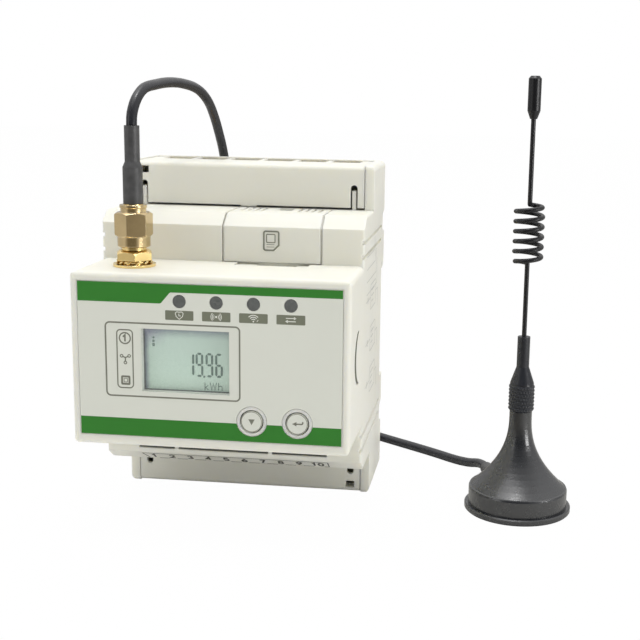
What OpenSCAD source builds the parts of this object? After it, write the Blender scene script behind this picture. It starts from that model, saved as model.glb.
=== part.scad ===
// DIN-rail energy meter, four modules wide, with a cabled magnetic antenna.
//
// Meter frame: x to the right, y = 0 at the front of the nose and growing
// towards the rail, z = 0 at half height. at_meter() stands the meter on
// z = 0 with the middle of its foot at the origin. The antenna stands on the
// same surface, in its own frame: z = 0 under its foot, the whip on the z axis.

/* [Meter body] */
// Width of one rail module
module_w = 18; // [17.5:0.1:18.5]
// Number of rail modules
modules = 4; // [4:1:6]
// Overall height
body_h = 96; // [94:0.5:110]
// Depth from the front of the nose to the back
body_d = 72; // [71:0.5:80]
// Height of the nose
nose_h = 45; // [44:0.5:47]
// Depth of the nose
nose_d = 24.7; // [23:0.1:26]
// Height of the shoulders at their front
shoulder_h = 64.5; // [62:0.5:66]
// Height of the shoulder bevel
bevel_h = 3.15; // [2:0.05:4]
// Depth of the shoulder bevel
bevel_d = 4.4; // [2:0.1:5]
// Depth at which the terminal section starts
term_y = 44.4; // [43.5:0.1:46]
// Wall of the front shell
wall = 2.2; // [1.8:0.1:2.6]
// Side walls of the terminal section
side_wall = 2.6; // [2.2:0.1:3]
// Radius of the corners
edge_r = 1.8; // [0.8:0.1:2.4]
// Radius of the edges round the nose's front
face_r = 1.1; // [0.6:0.1:1.6]
// Radius of the shoulders' edges
shoulder_r = 0.6; // [0.4:0.1:1]
// Radius of the long front edge of the terminal section
brow_r = 1.3; // [0.8:0.1:2.5]
// Width of the grooves along the flanks
groove_w = 1.1; // [0.6:0.1:1.6]
// Depth of the grooves along the flanks
groove_depth = 0.7; // [0.4:0.1:1]
// Diameter of the crescent grips on the nose's sides
thumb_d = 14.3; // [10:0.1:16]
// Greatest width of a crescent grip
thumb_w = 2.4; // [1.5:0.1:4]
// Depth of the crescent grips
thumb_depth = 1.2; // [0.5:0.1:1.4]

/* [Fits] */
// Gap round loose covers and doors
cover_gap = 0.2; // [0.15:0.05:0.4]
// Gap round pieces that stay put
seat_gap = 0.1; // [0.05:0.05:0.2]
// Radial gap of turning fits
run_gap = 0.06; // [0.02:0.01:0.09]
// Radial gap of the push buttons
key_gap = 0.3; // [0.2:0.05:0.4]

/* [Rail seat] */
// Height of the mounting rail
rail_h = 35; // [34.5:0.1:35.5]
// Depth of the rail channel
rail_recess = 5.5; // [5:0.1:6.5]
// Room for the rail's flange behind its seat
flange_gap = 1.3; // [1.1:0.1:1.8]
// How far the fixed hook reaches behind the rail
hook_reach = 1.9; // [1.4:0.1:2.4]
// Width of the sliding rail clip
clip_w = 18; // [14:0.5:22]
// Thickness of the sliding rail clip
clip_t = 1.6; // [1.4:0.1:1.8]
// Travel of the rail clip
clip_travel = 4; // [3:0.5:4]

/* [Front face] */
// Bare border round the label
label_border = 2; // [1.5:0.1:3]
// Height of the label
label_h = 40; // [38:0.1:40.4]
// Thickness of the label
label_t = 0.3; // [0.2:0.05:0.5]
// Width of the display window
lcd_w = 22.6; // [20:0.1:26]
// Height of the display window
lcd_h = 16.2; // [14:0.1:18]
// Rim of the display module round its window
lcd_rim = 2.4; // [1.5:0.1:3]
// Distance of the display window from the meter's left side
lcd_inset = 18.5; // [16:0.1:19]
// Diameter of a button
key_d = 5.5; // [4.5:0.1:6]
// How far a button stands proud
key_proud = 0.25; // [0:0.05:0.8]
// Travel of a button
key_travel = 0.4; // [0.2:0.05:0.5]
// Distance of the first button from the meter's right side
key_inset = 25.05; // [24:0.05:26]
// Distance between the two buttons
key_pitch = 11.7; // [10:0.1:13]
// Width of the plain ring round a button
key_ring = 0.8; // [0.5:0.1:1.2]
// Diameter of a status light
led_d = 3.2; // [2.5:0.1:4]
// Distance of the first status light from the meter's right side
led_inset = 43.5; // [42:0.1:45]
// Distance between status lights
led_pitch = 9.47; // [8:0.01:10]

/* [SIM door] */
// Width of the SIM door
door_w = 26.9; // [24:0.1:28]
// Thickness of the SIM door
door_t = 1.2; // [1:0.1:1.5]
// Rebate along the SIM door's sides
door_rebate = 0.35; // [0.2:0.05:0.5]
// Ledge that the SIM door lies on
door_ledge = 1.2; // [0.8:0.1:2]
// Distance of the SIM door from the meter's right side
door_inset = 11.6; // [10:0.1:13]

/* [Terminals] */
// Terminals in each block
term_count = 6; // [4:1:6]
// Distance between terminals
term_pitch = 10.16; // [9.5:0.02:10.2]
// Thickness of a terminal cover
cover_t = 1.6; // [1.2:0.1:2]
// Width of the wire hole in a clamp
wire_w = 6.4; // [5:0.1:6.8]
// Depth of the wire hole in a clamp
wire_d = 5.6; // [4.6:0.1:6]
// Wall of a clamp
clamp_wall = 1; // [0.8:0.1:1.1]
// Diameter of the clamp screws
screw_d = 4; // [3:0.1:4.5]
// Width of a seal post
post_w = 1.1; // [0.7:0.1:1.2]
// Width of the slot round a seal post
slot_w = 2; // [1.7:0.1:2.4]

/* [Signal terminals] */
// Ways of each signal plug
plug_ways = [2, 5, 3];
// Distance between signal ways
way_pitch = 5.08; // [5:0.01:5.1]
// Rib between neighbouring signal plugs
plug_rib = 1.2; // [1:0.1:1.4]
// Diameter of a signal screw
way_screw_d = 2.8; // [2:0.1:3.2]

/* [Antenna lead] */
// Distance of the antenna socket from the meter's left side
sma_inset = 13; // [12:0.1:15]
// Depth of the antenna socket behind the nose's front
sma_y = 12.5; // [12.4:0.1:14]
// Diameter of the socket's thread
thread_d = 6.35; // [6:0.05:6.4]
// Width across the flats of the socket's nut
nut_af = 8.7; // [7.6:0.1:9]
// Width across the flats of the coupling nut
coupling_af = 8.6; // [8:0.1:9.4]
// Diameter of the antenna lead
cord_d = 2.8; // [2.6:0.1:2.8]

/* [Antenna] */
// Place of the antenna beside the meter, x then y in the meter frame
antenna_xy = [79.2, 40];
// Diameter of the antenna's rim
rim_d = 30; // [28:0.5:36]
// Height of the rim
rim_h = 1.7; // [1:0.1:2.5]
// Diameter of the wall above the rim
drum_d = 27.8; // [26:0.1:29]
// Height of the top of that wall
drum_h = 6.8; // [5:0.1:8]
// Diameter of the neck
neck_d = 6.3; // [5.5:0.1:8]
// Height of the neck
neck_h = 28.8; // [24:0.1:34]
// Diameter of the knurled collar
collar_d = 6.9; // [6:0.1:8]
// Height of the knurled collar
collar_h = 7.9; // [6:0.1:10]
// Diameter of the ferrule
ferrule_d = 3.5; // [3:0.1:4]
// Height of the ferrule with its cone
ferrule_h = 13.3; // [10:0.1:16]
// Diameter of the whip's wire
wire_t = 1.3; // [1.2:0.05:1.4]
// Turns of the loading coil
coil_turns = 6; // [4:1:8]
// Rise of one turn of the loading coil
coil_pitch = 2.75; // [2.2:0.05:3]
// Outer diameter of the loading coil
coil_d = 8.6; // [7:0.1:10]
// Height at which the loading coil starts
coil_z = 70.5; // [62:0.5:74]
// Height of the bottom of the tip
tip_z = 109.8; // [106:0.1:114]
// Length of the tip
tip_h = 11.4; // [9:0.1:14]
// Diameter of the tip
tip_d = 3.5; // [2.6:0.1:4]

/* [Hidden] */
$fn = 48;
over = 1;              // how far a cut runs past the surface it opens

// Main levels of the body.
half_w = modules * module_w / 2;
half_h = body_h / 2;
half_nose = nose_h / 2;
half_shoulder = shoulder_h / 2;
step_z = half_shoulder + bevel_h;        // flat top of the shoulders
foot_y = (term_y + body_d) / 2;          // middle of the standing face
cavity_z = step_z - wall;                // inside height of the electronics bay
cavity_x = half_w - side_wall;
seat_y = body_d - rail_recess;           // face that lies on the rail
rear_wall = 2.2;
bay_back = seat_y - rear_wall;           // back of the electronics bay
clip_y1 = body_d - 0.9;                  // back of the rail clip's plate
clip_y0 = clip_y1 - clip_t;
term_back = clip_y0 - cover_gap - 1.1;   // back of the terminal bays
groove_z = [step_z - 6.6, step_z - 10.5];
thumb_y = 15;

// Label, display, buttons and lights.
label_z = 0.2;
lcd_x = -half_w + lcd_inset + lcd_w / 2;
lcd_z = 0.3;
key_x = [half_w - key_inset, half_w - key_inset + key_pitch];
key_z = -half_nose + 8.1;
led_x0 = half_w - led_inset;
led_z = half_nose - 6.7;
led_count = 4;
board_t = 1.6;
board_gap = 0.3;                         // round a board, to get it in
display_y = 7;                           // front of the display board
display_rear = display_y + board_t;
key_flange_t = 0.6;
key_back = wall + cover_gap + key_flange_t;
switch_top = key_back + key_travel + 0.05;
board_post_d = 3.4;
display_post = [half_w - 4.6, half_nose - 4.6];

// Boards behind the nose.
main_y = nose_d + 12.8;                  // front of the main board
main_rear = main_y + board_t;
radio_z = 15;                            // underside of the radio board
radio_top = radio_z + board_t;
main_post = [half_w - 8, cavity_z - 8];
main_post_d = 6;
lip_x = cavity_x - 0.8;                  // opening of the lip that locates the front shell
lip_z = cavity_z - 1.2;

// What the boards carry.
supply_w = 18;
supply_h = 16;
supply_t = 12;
supply_x = -half_w + 8;                  // left side of the power supply
supply_z = -14;                          // and its underside
capacitor_d = 9;
capacitor_l = 14;
capacitor_pitch = 11;
capacitor_z = -8;
ring_d = 17;                             // current transformers
ring_bore = 8;
ring_t = 9;
ring_pitch = 19;
shield_w = 16;
shield_l = 14;
shield_t = 2.4;
holder_w = 17.2;
holder_t = 2.4;
holder_wall = 1;
card_w = 15;
card_t = 0.8;
switch_w = 6;
plunger_d = 3;
jack_w = 6.4;

// SIM door and its opening in the upper shoulder.
door_x1 = half_w - door_inset;
door_x0 = door_x1 - door_w;
sim_x = (door_x0 + door_x1) / 2;
holder_z = radio_top + 0.4;
card_y = main_y - (holder_t + card_t) / 2;
door_z0 = half_nose + cover_gap;
door_back = term_y - 0.5;
door_skirt = 1;
grip_count = 4;
grip_w = 0.9;
grip_step = 1.9;
grip_len = 8.5;
grip_depth = 0.5;

// Terminal section: cover, block, clamps.
bay_h = half_h - step_z;                 // height of a terminal bay
cover_x = half_w - side_wall - cover_gap;
cover_z0 = step_z + 0.6;
cover_z1 = half_h - 0.3;                 // a cover ends short of the housing
cover_back = term_back - cover_gap;
clamp_w = wire_w + 2 * clamp_wall;
clamp_back = term_back - 0.8;
clamp_y0 = clamp_back - wire_d - 3.4;
clamp_z0 = step_z + bay_h / 12.5;
block_z1 = cover_z1 - cover_t - cover_gap;
clamp_z1 = block_z1 - bay_h / 12;
clamp_mid = (clamp_z0 + clamp_z1) / 2;
wire_y1 = clamp_back - 1.4;
wire_y0 = wire_y1 - wire_d;
notch_w = clamp_w + 0.2;
notch_y = wire_y0 - 0.4;
block_x = term_count * term_pitch / 2 + 0.7;
screw_head_d = screw_d + bay_h / 8;
screw_head_y = (term_y + wire_y0) / 2 - 0.9;
screw_head_t = 2.7;
block_y0 = term_y + 0.65 * (screw_head_y - term_y);
slot_x = half_w - 5.7;
slot_z1 = step_z + 0.555 * bay_h;
post_z1 = slot_z1 - 1.6;
post_h = post_z1 - step_z;
post_y0 = term_y + 0.3;
peep_w = 2.6;                            // small square window in a cover
peep_h = 2;
peep_z = half_h - bay_h / 5;
tab_w = 4.4;
tab_h = 0.4;

// Signal plugs in the lower shoulder.
plug_x0 = -half_w + 9.06;
plug_y0 = nose_d + 0.5;
plug_top = -half_nose - 1.2;
plug_front_z = -half_shoulder + 1.3;
plug_low_z = -cavity_z + seat_gap;
plug_step_y = nose_d + wall + bevel_d + 0.5;
plug_back = main_y - 1.5;
way_screw_z = plug_top - 3.1;
wire_slot_y = [plug_step_y + 0.5, plug_back - 0.5];

// Rail clip.
hook_y0 = seat_y + flange_gap;           // face that holds the rail's flange
clip_tip_z = -rail_h / 2 + 1.6;
hook_z0 = -rail_h / 2 - 3;
seat_half = rail_h / 2 - hook_reach - 0.2;  // the seat ends short of the hooks
seat_relief = 0.3;
clip_end_z = -half_h + clip_travel + 0.3;
clip_slot = 0.3;
clip_lip = 2;                            // how far the guides reach over the clip
window_w = 4.6;
window_z0 = clip_end_z + 4.9;
window_z1 = window_z0 + 15;
peg_h = 2;
peg_w = 3.6;
spring_d = 2.4;
spring_wire = 0.4;
spring_turns = 7;
spring_y = clip_y0 + clip_t / 2;
spring_z0 = window_z0 + seat_gap + peg_h;
spring_z1 = window_z1;

// Antenna plug, stacked upwards from the top of the nose.
sma_x = -half_w + sma_inset;
washer_d = 11;
washer_t = 0.7;
star_d = 9.2;
star_t = 1;                              // over its twisted teeth
star_teeth = 12;
star_ring = 0.7;                         // width of the ring that joins the teeth
nut_z = half_nose + washer_t + star_t;
nut_h = 2.6;
nut_turn = -11;
coupling_z = half_nose + 5.1;
coupling_low_h = 2.8;
coupling_low_d = 8.5;
coupling_turn = 27;
coupling_edge = 0.45;                    // bevel at the ends of the hexagon
coupling_hex_h = 6.2;
coupling_top_d = 7;
coupling_top_h = 1.9;
coupling_h = coupling_low_h + coupling_hex_h + coupling_top_h;
thread_top = coupling_z + 4.2;
plug_d = 5;
boot_z = coupling_z + coupling_h + cover_gap;
boot_low_h = 10.4;
boot_low_d = 5.1;
boot_h = 20;
boot_top_d = 3.9;
crimp_d = 4;
crimp_h = 5;

// Antenna.
shell_wall = 1.4;
foot_t = 0.8;
magnet_d = drum_d - 2 * shell_wall - 2 * seat_gap;
magnet_top = drum_h - shell_wall;
stud_d = 3;
stud_top = neck_h + 5;
flare_steps = 14;
flare_power = 2.3;
collar_z = neck_h + seat_gap;
knurl_rows = 7;
ferrule_z = collar_z + collar_h;
ferrule_cone_h = 4.7;
tip_cone_h = 2.2;
coil_r = (coil_d - wire_t) / 2;
relief_angle = 111;
relief_len = 12;
relief_z = 3.2;
relief_d0 = 5.2;
relief_d1 = 3.8;

// Antenna lead, in the part's own frame: from the boot over the meter's top,
// down behind it, into the coil; and from the coil to the antenna's relief.
front_route = [
  [-23, -45.7, 106.7], [-23, -45.5, 110], [-22.6, -43, 113.4],
  [-22, -38, 115.8], [-21.2, -31, 117.1], [-20.4, -24, 117.7],
  [-19.6, -17, 117.8], [-18.9, -10, 117.4], [-18.3, -3, 116.6],
  [-17.6, 3, 114.9], [-17, 8.5, 111.9], [-16.5, 12.8, 107.6],
  [-16.1, 16.4, 102.8], [-15.8, 19.6, 98], [-15.6, 22.4, 92],
  [-15.6, 24.4, 85], [-15.8, 25.6, 78], [-16.2, 26.2, 71],
  [-16.7, 26.4, 64], [-17.3, 26.4, 57], [-17.9, 26.2, 50],
  [-18.6, 26, 43], [-19.4, 25.8, 36], [-20.3, 25.7, 29],
  [-21.2, 26.1, 22.5], [-22.1, 27.6, 17], [-23.1, 30.2, 13.6]
];
rear_route = [
  [11.6, 54.5, 1.6], [18, 49.6, 1.4], [24, 44.9, 1.4], [30, 40.5, 1.4],
  [36, 36, 1.4], [42, 31.6, 1.4], [48, 27.2, 1.4], [54, 22.6, 1.4],
  [60, 17.8, 1.4], [64.2, 14.4, 1.8], [67.2, 11.2, 2.6]
];
stow_xy = [-6, 42.8];                    // middle of the stowed coil
stow_start = 200;                        // angle at which the lead enters it
stow_turns = 12.408;
stow_layers = 4;
stow_step = 3.25;                        // from one turn to the next
stow_r = 20.5;                           // outermost turn
stow_lift = 0.6;                         // thickness of the tie under it
loop_rings = 24;
loop_sides = 6;
cord_sides = 8;

// Colours.
shell_grey = [0.86, 0.85, 0.82];
panel_grey = [0.78, 0.78, 0.75];
black = [0.07, 0.07, 0.08];
brass = [0.78, 0.62, 0.34];
gold = [0.85, 0.68, 0.38];
board_green = [0.1, 0.35, 0.2];
dark_grey = [0.25, 0.26, 0.27];

// ---------- Helpers ----------

module at_meter() translate([0, -foot_y, half_h]) children();

module at_antenna() translate([antenna_xy.x, antenna_xy.y - foot_y, 0]) children();

module turned() rotate([0, 180, 0]) children();

// A box between two corners.
module box(lo, hi) translate(lo) cube(hi - lo);

// A rectangle between two corners, its corners rounded.
module soft_rect(lo, hi, r) {
  translate([lo.x + r, lo.y]) square([hi.x - lo.x - 2 * r, hi.y - lo.y]);
  translate([lo.x, lo.y + r]) square([hi.x - lo.x, hi.y - lo.y - 2 * r]);
  for (x = [lo.x + r, hi.x - r], y = [lo.y + r, hi.y - r])
    translate([x, y]) circle(r);
}

// A y-z outline drawn out along x.
module along_x(x0, x1)
  translate([x0, 0, 0]) rotate([90, 0, 90]) linear_extrude(height = x1 - x0) children();

// An x-z outline drawn out along y.
module along_y(y0, y1)
  translate([0, y1, 0]) rotate([90, 0, 0]) linear_extrude(height = y1 - y0) children();

// An x-y outline drawn out along z.
module along_z(z0, z1)
  translate([0, 0, z0]) linear_extrude(height = z1 - z0) children();

// A round bar along y.
module bar_y(x, z, y0, y1, d)
  translate([x, y0, z]) rotate([-90, 0, 0]) cylinder(d = d, h = y1 - y0);

// A round bar along z.
module bar_z(x, y, z0, z1, d) translate([x, y, z0]) cylinder(d = d, h = z1 - z0);

// A flat ring.
module ring(d_out, d_in, h)
  difference() {
    cylinder(d = d_out, h = h);
    translate([0, 0, -over]) cylinder(d = d_in, h = h + 2 * over);
  }

// Unit vector, and the next frame normal along a path.
function unit(v) = v / norm(v);
function heading(p, i) =
  let (n = len(p) - 1)
  unit(p[min(i + 1, n)] - p[max(i - 1, 0)]);
function carried(n, t) = unit(n - (n * t) * t);
function normals(p, n0) =
  [for (i = 0, n = carried(n0, heading(p, 0)); i < len(p);
        i = i + 1, n = i < len(p) ? carried(n, heading(p, i)) : n) n];

// Rings of points round a path, and the triangles that join them.
function tube_points(p, r, sides, n0) =
  let (ns = normals(p, n0))
  [for (i = [0:len(p) - 1])
     let (t = heading(p, i), n = ns[i], b = cross(t, n))
     for (j = [0:sides - 1])
       p[i] + r * (cos(360 * j / sides) * n + sin(360 * j / sides) * b)];
function tube_faces(rings, sides) = concat(
  [for (i = [0:rings - 2], j = [0:sides - 1])
     [i * sides + j, (i + 1) * sides + j, (i + 1) * sides + (j + 1) % sides]],
  [for (i = [0:rings - 2], j = [0:sides - 1])
     [i * sides + j, (i + 1) * sides + (j + 1) % sides, i * sides + (j + 1) % sides]],
  [for (j = [1:sides - 2]) [0, j, j + 1]],
  [for (j = [1:sides - 2])
     [(rings - 1) * sides, (rings - 1) * sides + j + 1, (rings - 1) * sides + j]]);
module tube(p, d, sides, n0)
  polyhedron(points = tube_points(p, d / 2, sides, n0), faces = tube_faces(len(p), sides));

// Least distance between parts of a path that lie at least `skip` points
// apart, less the tube's own diameter.
function least_gap(p, d, skip) =
  min([for (i = [0:len(p) - 1 - skip], j = [i + skip:len(p) - 1]) norm(p[i] - p[j])]) - d;

// ---------- Front shell ----------

// Outline of the shoulders in y and z, moved in by `inset`.
module shoulder_outline(inset, y1) {
  f = nose_d + inset;
  slope = inset * 0.42;                  // a bevel moves in less than its walls
  for (s = [-1, 1])
    polygon([[f, 0], [f, s * (half_shoulder - slope)],
             [nose_d + bevel_d + slope, s * (step_z - inset)],
             [y1, s * (step_z - inset)], [y1, 0]]);
}

// Outer form of nose and shoulders.
module front_form() {
  intersection() {
    along_x(-half_w, half_w)
      soft_rect([0, -half_nose], [term_y + 2 * face_r, half_nose], face_r);
    along_y(0, term_y)
      soft_rect([-half_w, -half_nose], [half_w, half_nose], edge_r);
    along_z(-half_nose, half_nose)
      soft_rect([-half_w, 0], [half_w, term_y + 2 * face_r], face_r);
  }
  intersection() {
    along_x(-half_w, half_w) shoulder_outline(0, term_y);
    along_y(nose_d, term_y)
      soft_rect([-half_w, -step_z], [half_w, step_z], shoulder_r);
    along_z(-step_z, step_z)
      soft_rect([-half_w, nose_d], [half_w, term_y + 2 * shoulder_r], shoulder_r);
  }
}

// Grooves along both flanks, from y0 back to y1.
module flank_grooves(y0, y1)
  for (side = [-1, 1], s = [-1, 1], z = groove_z)
    translate([side * half_w, 0, s * z])
      box([-groove_depth, y0, -groove_w / 2], [groove_depth, y1, groove_w / 2]);

// Crescents that a thumb pushes against, open towards the rail.
module thumb_grips()
  for (side = [0, 1])
    mirror([side, 0, 0])
      along_x(half_w - thumb_depth, half_w + over)
        difference() {
          translate([thumb_y, 0]) circle(d = thumb_d);
          translate([thumb_y + thumb_w, 0]) circle(d = thumb_d);
        }

// Outline of the SIM door in y and z.
module door_outline(t, y1) {
  difference() {
    shoulder_outline(0, y1);
    shoulder_outline(t, y1 + over);
    translate([0, -body_h]) square([body_d, body_h + door_z0]);
  }
}

// Recess for the SIM door and the smaller hole behind it.
module door_opening() {
  along_x(door_x0 - cover_gap, door_x1 + cover_gap)
    intersection() {
      difference() {
        translate([nose_d - over, half_nose]) square([term_y, body_h]);
        shoulder_outline(door_t + cover_gap, term_y + 2 * over);
      }
      translate([nose_d - over, half_nose]) square([term_y, body_h]);
    }
  box([door_x0 + door_ledge, nose_d - over, half_nose],
      [door_x1 - door_ledge, door_back - door_ledge, half_h]);
}

// x limits of signal plug k.
function ways_before(k) = k == 0 ? 0 : plug_ways[k - 1] + ways_before(k - 1);
function plug_lo(k) = plug_x0 + ways_before(k) * way_pitch + k * plug_rib;
function plug_hi(k) = plug_lo(k) + plug_ways[k] * way_pitch;

module signal_openings()
  for (k = [0:len(plug_ways) - 1]) {
    box([plug_lo(k) - seat_gap, nose_d - over, plug_front_z - seat_gap],
        [plug_hi(k) + seat_gap, nose_d + wall + over, plug_top + seat_gap]);
    box([plug_lo(k) + 0.4, wire_slot_y[0], -step_z - over],
        [plug_hi(k) - 0.4, wire_slot_y[1], -cavity_z + over]);
  }

module front_housing() color(shell_grey) at_meter() {
  difference() {
    front_form();
    box([-half_w + wall, wall, -half_nose + wall],
        [half_w - wall, term_y + over, half_nose - wall]);
    along_x(-half_w + wall, half_w - wall) shoulder_outline(wall, term_y + over);
    // seat of the label, left standing round the buttons
    difference() {
      box([-half_w + label_border - seat_gap, -over, label_z - label_h / 2 - seat_gap],
          [half_w - label_border + seat_gap, label_t, label_z + label_h / 2 + seat_gap]);
      for (x = key_x)
        bar_y(x, key_z, -2 * over, over, key_d + 2 * key_gap + 2 * key_ring);
    }
    box([lcd_x - lcd_w / 2 - seat_gap, -over, lcd_z - lcd_h / 2 - seat_gap],
        [lcd_x + lcd_w / 2 + seat_gap, wall + over, lcd_z + lcd_h / 2 + seat_gap]);
    for (i = [0:led_count - 1])
      bar_y(led_x0 + i * led_pitch, led_z, -over, wall + over, led_d + 2 * seat_gap);
    for (x = key_x) bar_y(x, key_z, -over, wall + over, key_d + 2 * key_gap);
    bar_z(sma_x, sma_y, half_nose - wall - over, half_nose + over, thread_d + 2 * seat_gap);
    door_opening();
    // nail recess in front of the SIM door
    box([door_x0 + 4, nose_d - 4.6, half_nose - 0.5], [door_x1 - 3, nose_d + over, half_nose + over]);
    box([door_x0 + 9.6, nose_d - 3.2, half_nose - 1.1],
        [door_x1 - 6.6, nose_d + over, half_nose + over]);
    signal_openings();
    flank_grooves(nose_d - over, term_y + over);
    thumb_grips();
  }
  // posts that carry the display board
  for (x = [-1, 1], z = [-1, 1])
    bar_y(x * display_post.x, z * display_post.y, wall - 0.2, display_y, board_post_d);
}

// ---------- Rear shell ----------

module rail_channel()
  along_x(-half_w - over, half_w + over)
    polygon([
      [seat_y, -seat_half], [seat_y, seat_half],
      [seat_y - seat_relief, seat_half + seat_relief],
      [seat_y - seat_relief, rail_h / 2 + clip_slot],
      [seat_y + flange_gap, rail_h / 2 + clip_slot],
      [seat_y + flange_gap, rail_h / 2 - hook_reach],
      [body_d + over, rail_h / 2 - hook_reach + 1.4],
      [body_d + over, -rail_h / 2 - clip_slot],
      [seat_y - seat_relief, -rail_h / 2 - clip_slot],
      [seat_y - seat_relief, -seat_half - seat_relief]]);

// Relief grooves across the back, above and below the rail.
module back_grooves()
  for (s = [-1, 1])
    along_x(-half_w - over, half_w + over)
      polygon([[body_d + over, s * (cavity_z + 0.2)], [body_d - 4.3, s * (cavity_z - 1)],
               [body_d - 4.3, s * (cavity_z - 5.6)], [body_d + over, s * (cavity_z - 6.8)]]);

// Guide for the rail clip, narrower at the back so that the clip stays in.
module clip_guide() {
  w = clip_w / 2 + clip_slot;
  box([-w, clip_y0 - cover_gap, -half_h - over], [w, clip_y1 + clip_slot / 2, -rail_h / 2]);
  box([-w + clip_lip, clip_y0, -half_h - over], [w - clip_lip, body_d + over, -rail_h / 2]);
  box([-w, hook_y0 - cover_gap, hook_z0 - clip_travel - clip_slot], [w, body_d + over, -rail_h / 2]);
}

module terminal_bay()
  box([-cavity_x, term_y - over, step_z], [cavity_x, term_back, half_h + over]);

module seal_posts()
  for (x = [-slot_x, slot_x])
    difference() {
      box([x - post_w / 2, post_y0, step_z - 0.1], [x + post_w / 2, block_y0, post_z1]);
      for (z = [step_z + 0.5 * post_h, step_z + 0.85 * post_h])
        translate([x, post_y0 + 1, z]) rotate([0, 90, 0])
          cylinder(d = 0.9, h = 2 * post_w, center = true);
    }

module rear_housing() color(shell_grey) at_meter() {
  difference() {
    intersection() {
      along_x(-half_w, half_w) {
        soft_rect([term_y, -half_h], [body_d, half_h], brow_r);
        translate([foot_y, -half_h]) square([body_d - foot_y - edge_r, body_h]);
        translate([foot_y, -half_h + edge_r])
          square([body_d - foot_y, body_h - 2 * edge_r]);
        for (s = [-1, 1]) translate([body_d - edge_r, s * (half_h - edge_r)]) circle(edge_r);
      }
      along_y(term_y, body_d) soft_rect([-half_w, -half_h], [half_w, half_h], edge_r);
    }
    box([-cavity_x, term_y - over, -cavity_z], [cavity_x, bay_back, cavity_z]);
    terminal_bay();
    turned() terminal_bay();
    rail_channel();
    back_grooves();
    clip_guide();
    // room for the clip's spring
    box([-spring_d / 2 - cover_gap, spring_y - spring_d / 2 - seat_gap, spring_z0],
        [spring_d / 2 + cover_gap, clip_y0 + over, spring_z1]);
    flank_grooves(term_y - over, seat_y - 0.5);
  }
  // lip that locates the front shell
  difference() {
    box([-half_w + wall + seat_gap, term_y - 1.5, -cavity_z + seat_gap],
        [half_w - wall - seat_gap, term_y + 0.5, cavity_z - seat_gap]);
    box([-lip_x, term_y - 2, -lip_z], [lip_x, term_y + over, lip_z]);
  }
  // peg that the clip's spring pushes on
  box([-peg_w / 2, clip_y0 - cover_gap - 0.1, window_z0 + seat_gap],
      [peg_w / 2, clip_y0 + clip_t, window_z0 + seat_gap + peg_h]);
  // posts that carry the main board
  for (x = [-1, 1], z = [-1, 1])
    bar_y(x * main_post.x, z * main_post.y, main_rear, bay_back + 0.2, main_post_d);
  seal_posts();
  turned() seal_posts();
}

// ---------- Front face ----------

module front_label() color(panel_grey) at_meter()
  difference() {
    box([-half_w + label_border, 0, label_z - label_h / 2],
        [half_w - label_border, label_t, label_z + label_h / 2]);
    for (x = key_x)
      bar_y(x, key_z, -over, over, key_d + 2 * key_gap + 2 * key_ring + 2 * seat_gap);
    for (i = [0:led_count - 1])
      bar_y(led_x0 + i * led_pitch, led_z, -over, over, led_d + 2 * seat_gap);
    box([lcd_x - lcd_w / 2 - seat_gap, -over, lcd_z - lcd_h / 2 - seat_gap],
        [lcd_x + lcd_w / 2 + seat_gap, over, lcd_z + lcd_h / 2 + seat_gap]);
  }

module lcd_window() color([0.75, 0.85, 0.8, 0.5]) at_meter()
  box([lcd_x - lcd_w / 2, 0.1, lcd_z - lcd_h / 2], [lcd_x + lcd_w / 2, wall, lcd_z + lcd_h / 2]);

module lcd_module() color([0.7, 0.78, 0.72]) at_meter()
  difference() {
    box([lcd_x - lcd_w / 2 - lcd_rim, wall, lcd_z - lcd_h / 2 - lcd_rim],
        [lcd_x + lcd_w / 2 + lcd_rim, display_y, lcd_z + lcd_h / 2 + lcd_rim]);
    box([lcd_x - lcd_w / 2, wall - over, lcd_z - lcd_h / 2],
        [lcd_x + lcd_w / 2, wall + 0.8, lcd_z + lcd_h / 2]);
  }

module led_lenses() color(dark_grey) at_meter()
  for (i = [0:led_count - 1]) bar_y(led_x0 + i * led_pitch, led_z, 0, display_y, led_d);

module button(x) color(shell_grey) at_meter() {
  bar_y(x, key_z, -key_proud, key_back - 0.1, key_d);
  bar_y(x, key_z, key_back - key_flange_t, key_back, key_d + 2 * key_gap + 1.2);
}

module tact_switches() color(dark_grey) at_meter()
  for (x = key_x) {
    box([x - switch_w / 2, switch_top + key_travel + 1, key_z - switch_w / 2],
        [x + switch_w / 2, display_y, key_z + switch_w / 2]);
    bar_y(x, key_z, switch_top, switch_top + key_travel + 1.6, plunger_d);
  }

// ---------- Boards and what they carry ----------

module display_board() color(board_green) at_meter()
  box([-half_w + wall + board_gap, display_y, -half_nose + wall + board_gap],
      [half_w - wall - board_gap, display_rear, half_nose - wall - board_gap]);

module main_board() color(board_green) at_meter()
  box([-lip_x + board_gap, main_y, -lip_z + board_gap], [lip_x - board_gap, main_rear, lip_z - board_gap]);

module radio_module() color([0.1, 0.25, 0.45]) at_meter()
  box([sma_x - jack_w, display_rear, radio_z], [sim_x + holder_w / 2, main_y, radio_top]);

module radio_shield() color([0.75, 0.76, 0.78]) at_meter()
  translate([sma_x + jack_w, sma_y + jack_w / 2, radio_top]) cube([shield_w, shield_l, shield_t]);

module sim_holder() color([0.75, 0.76, 0.78]) at_meter()
  difference() {
    box([sim_x - holder_w / 2, main_y - holder_t, holder_z],
        [sim_x + holder_w / 2, main_y, lip_z - 2 * holder_wall]);
    box([sim_x - card_w / 2 - seat_gap, card_y - seat_gap, holder_z + holder_wall],
        [sim_x + card_w / 2 + seat_gap, card_y + card_t + seat_gap, cavity_z]);
  }

module sim_card() color([0.9, 0.9, 0.88]) at_meter()
  box([sim_x - card_w / 2, card_y, holder_z + holder_wall], [sim_x + card_w / 2, card_y + card_t, lip_z]);

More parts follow.
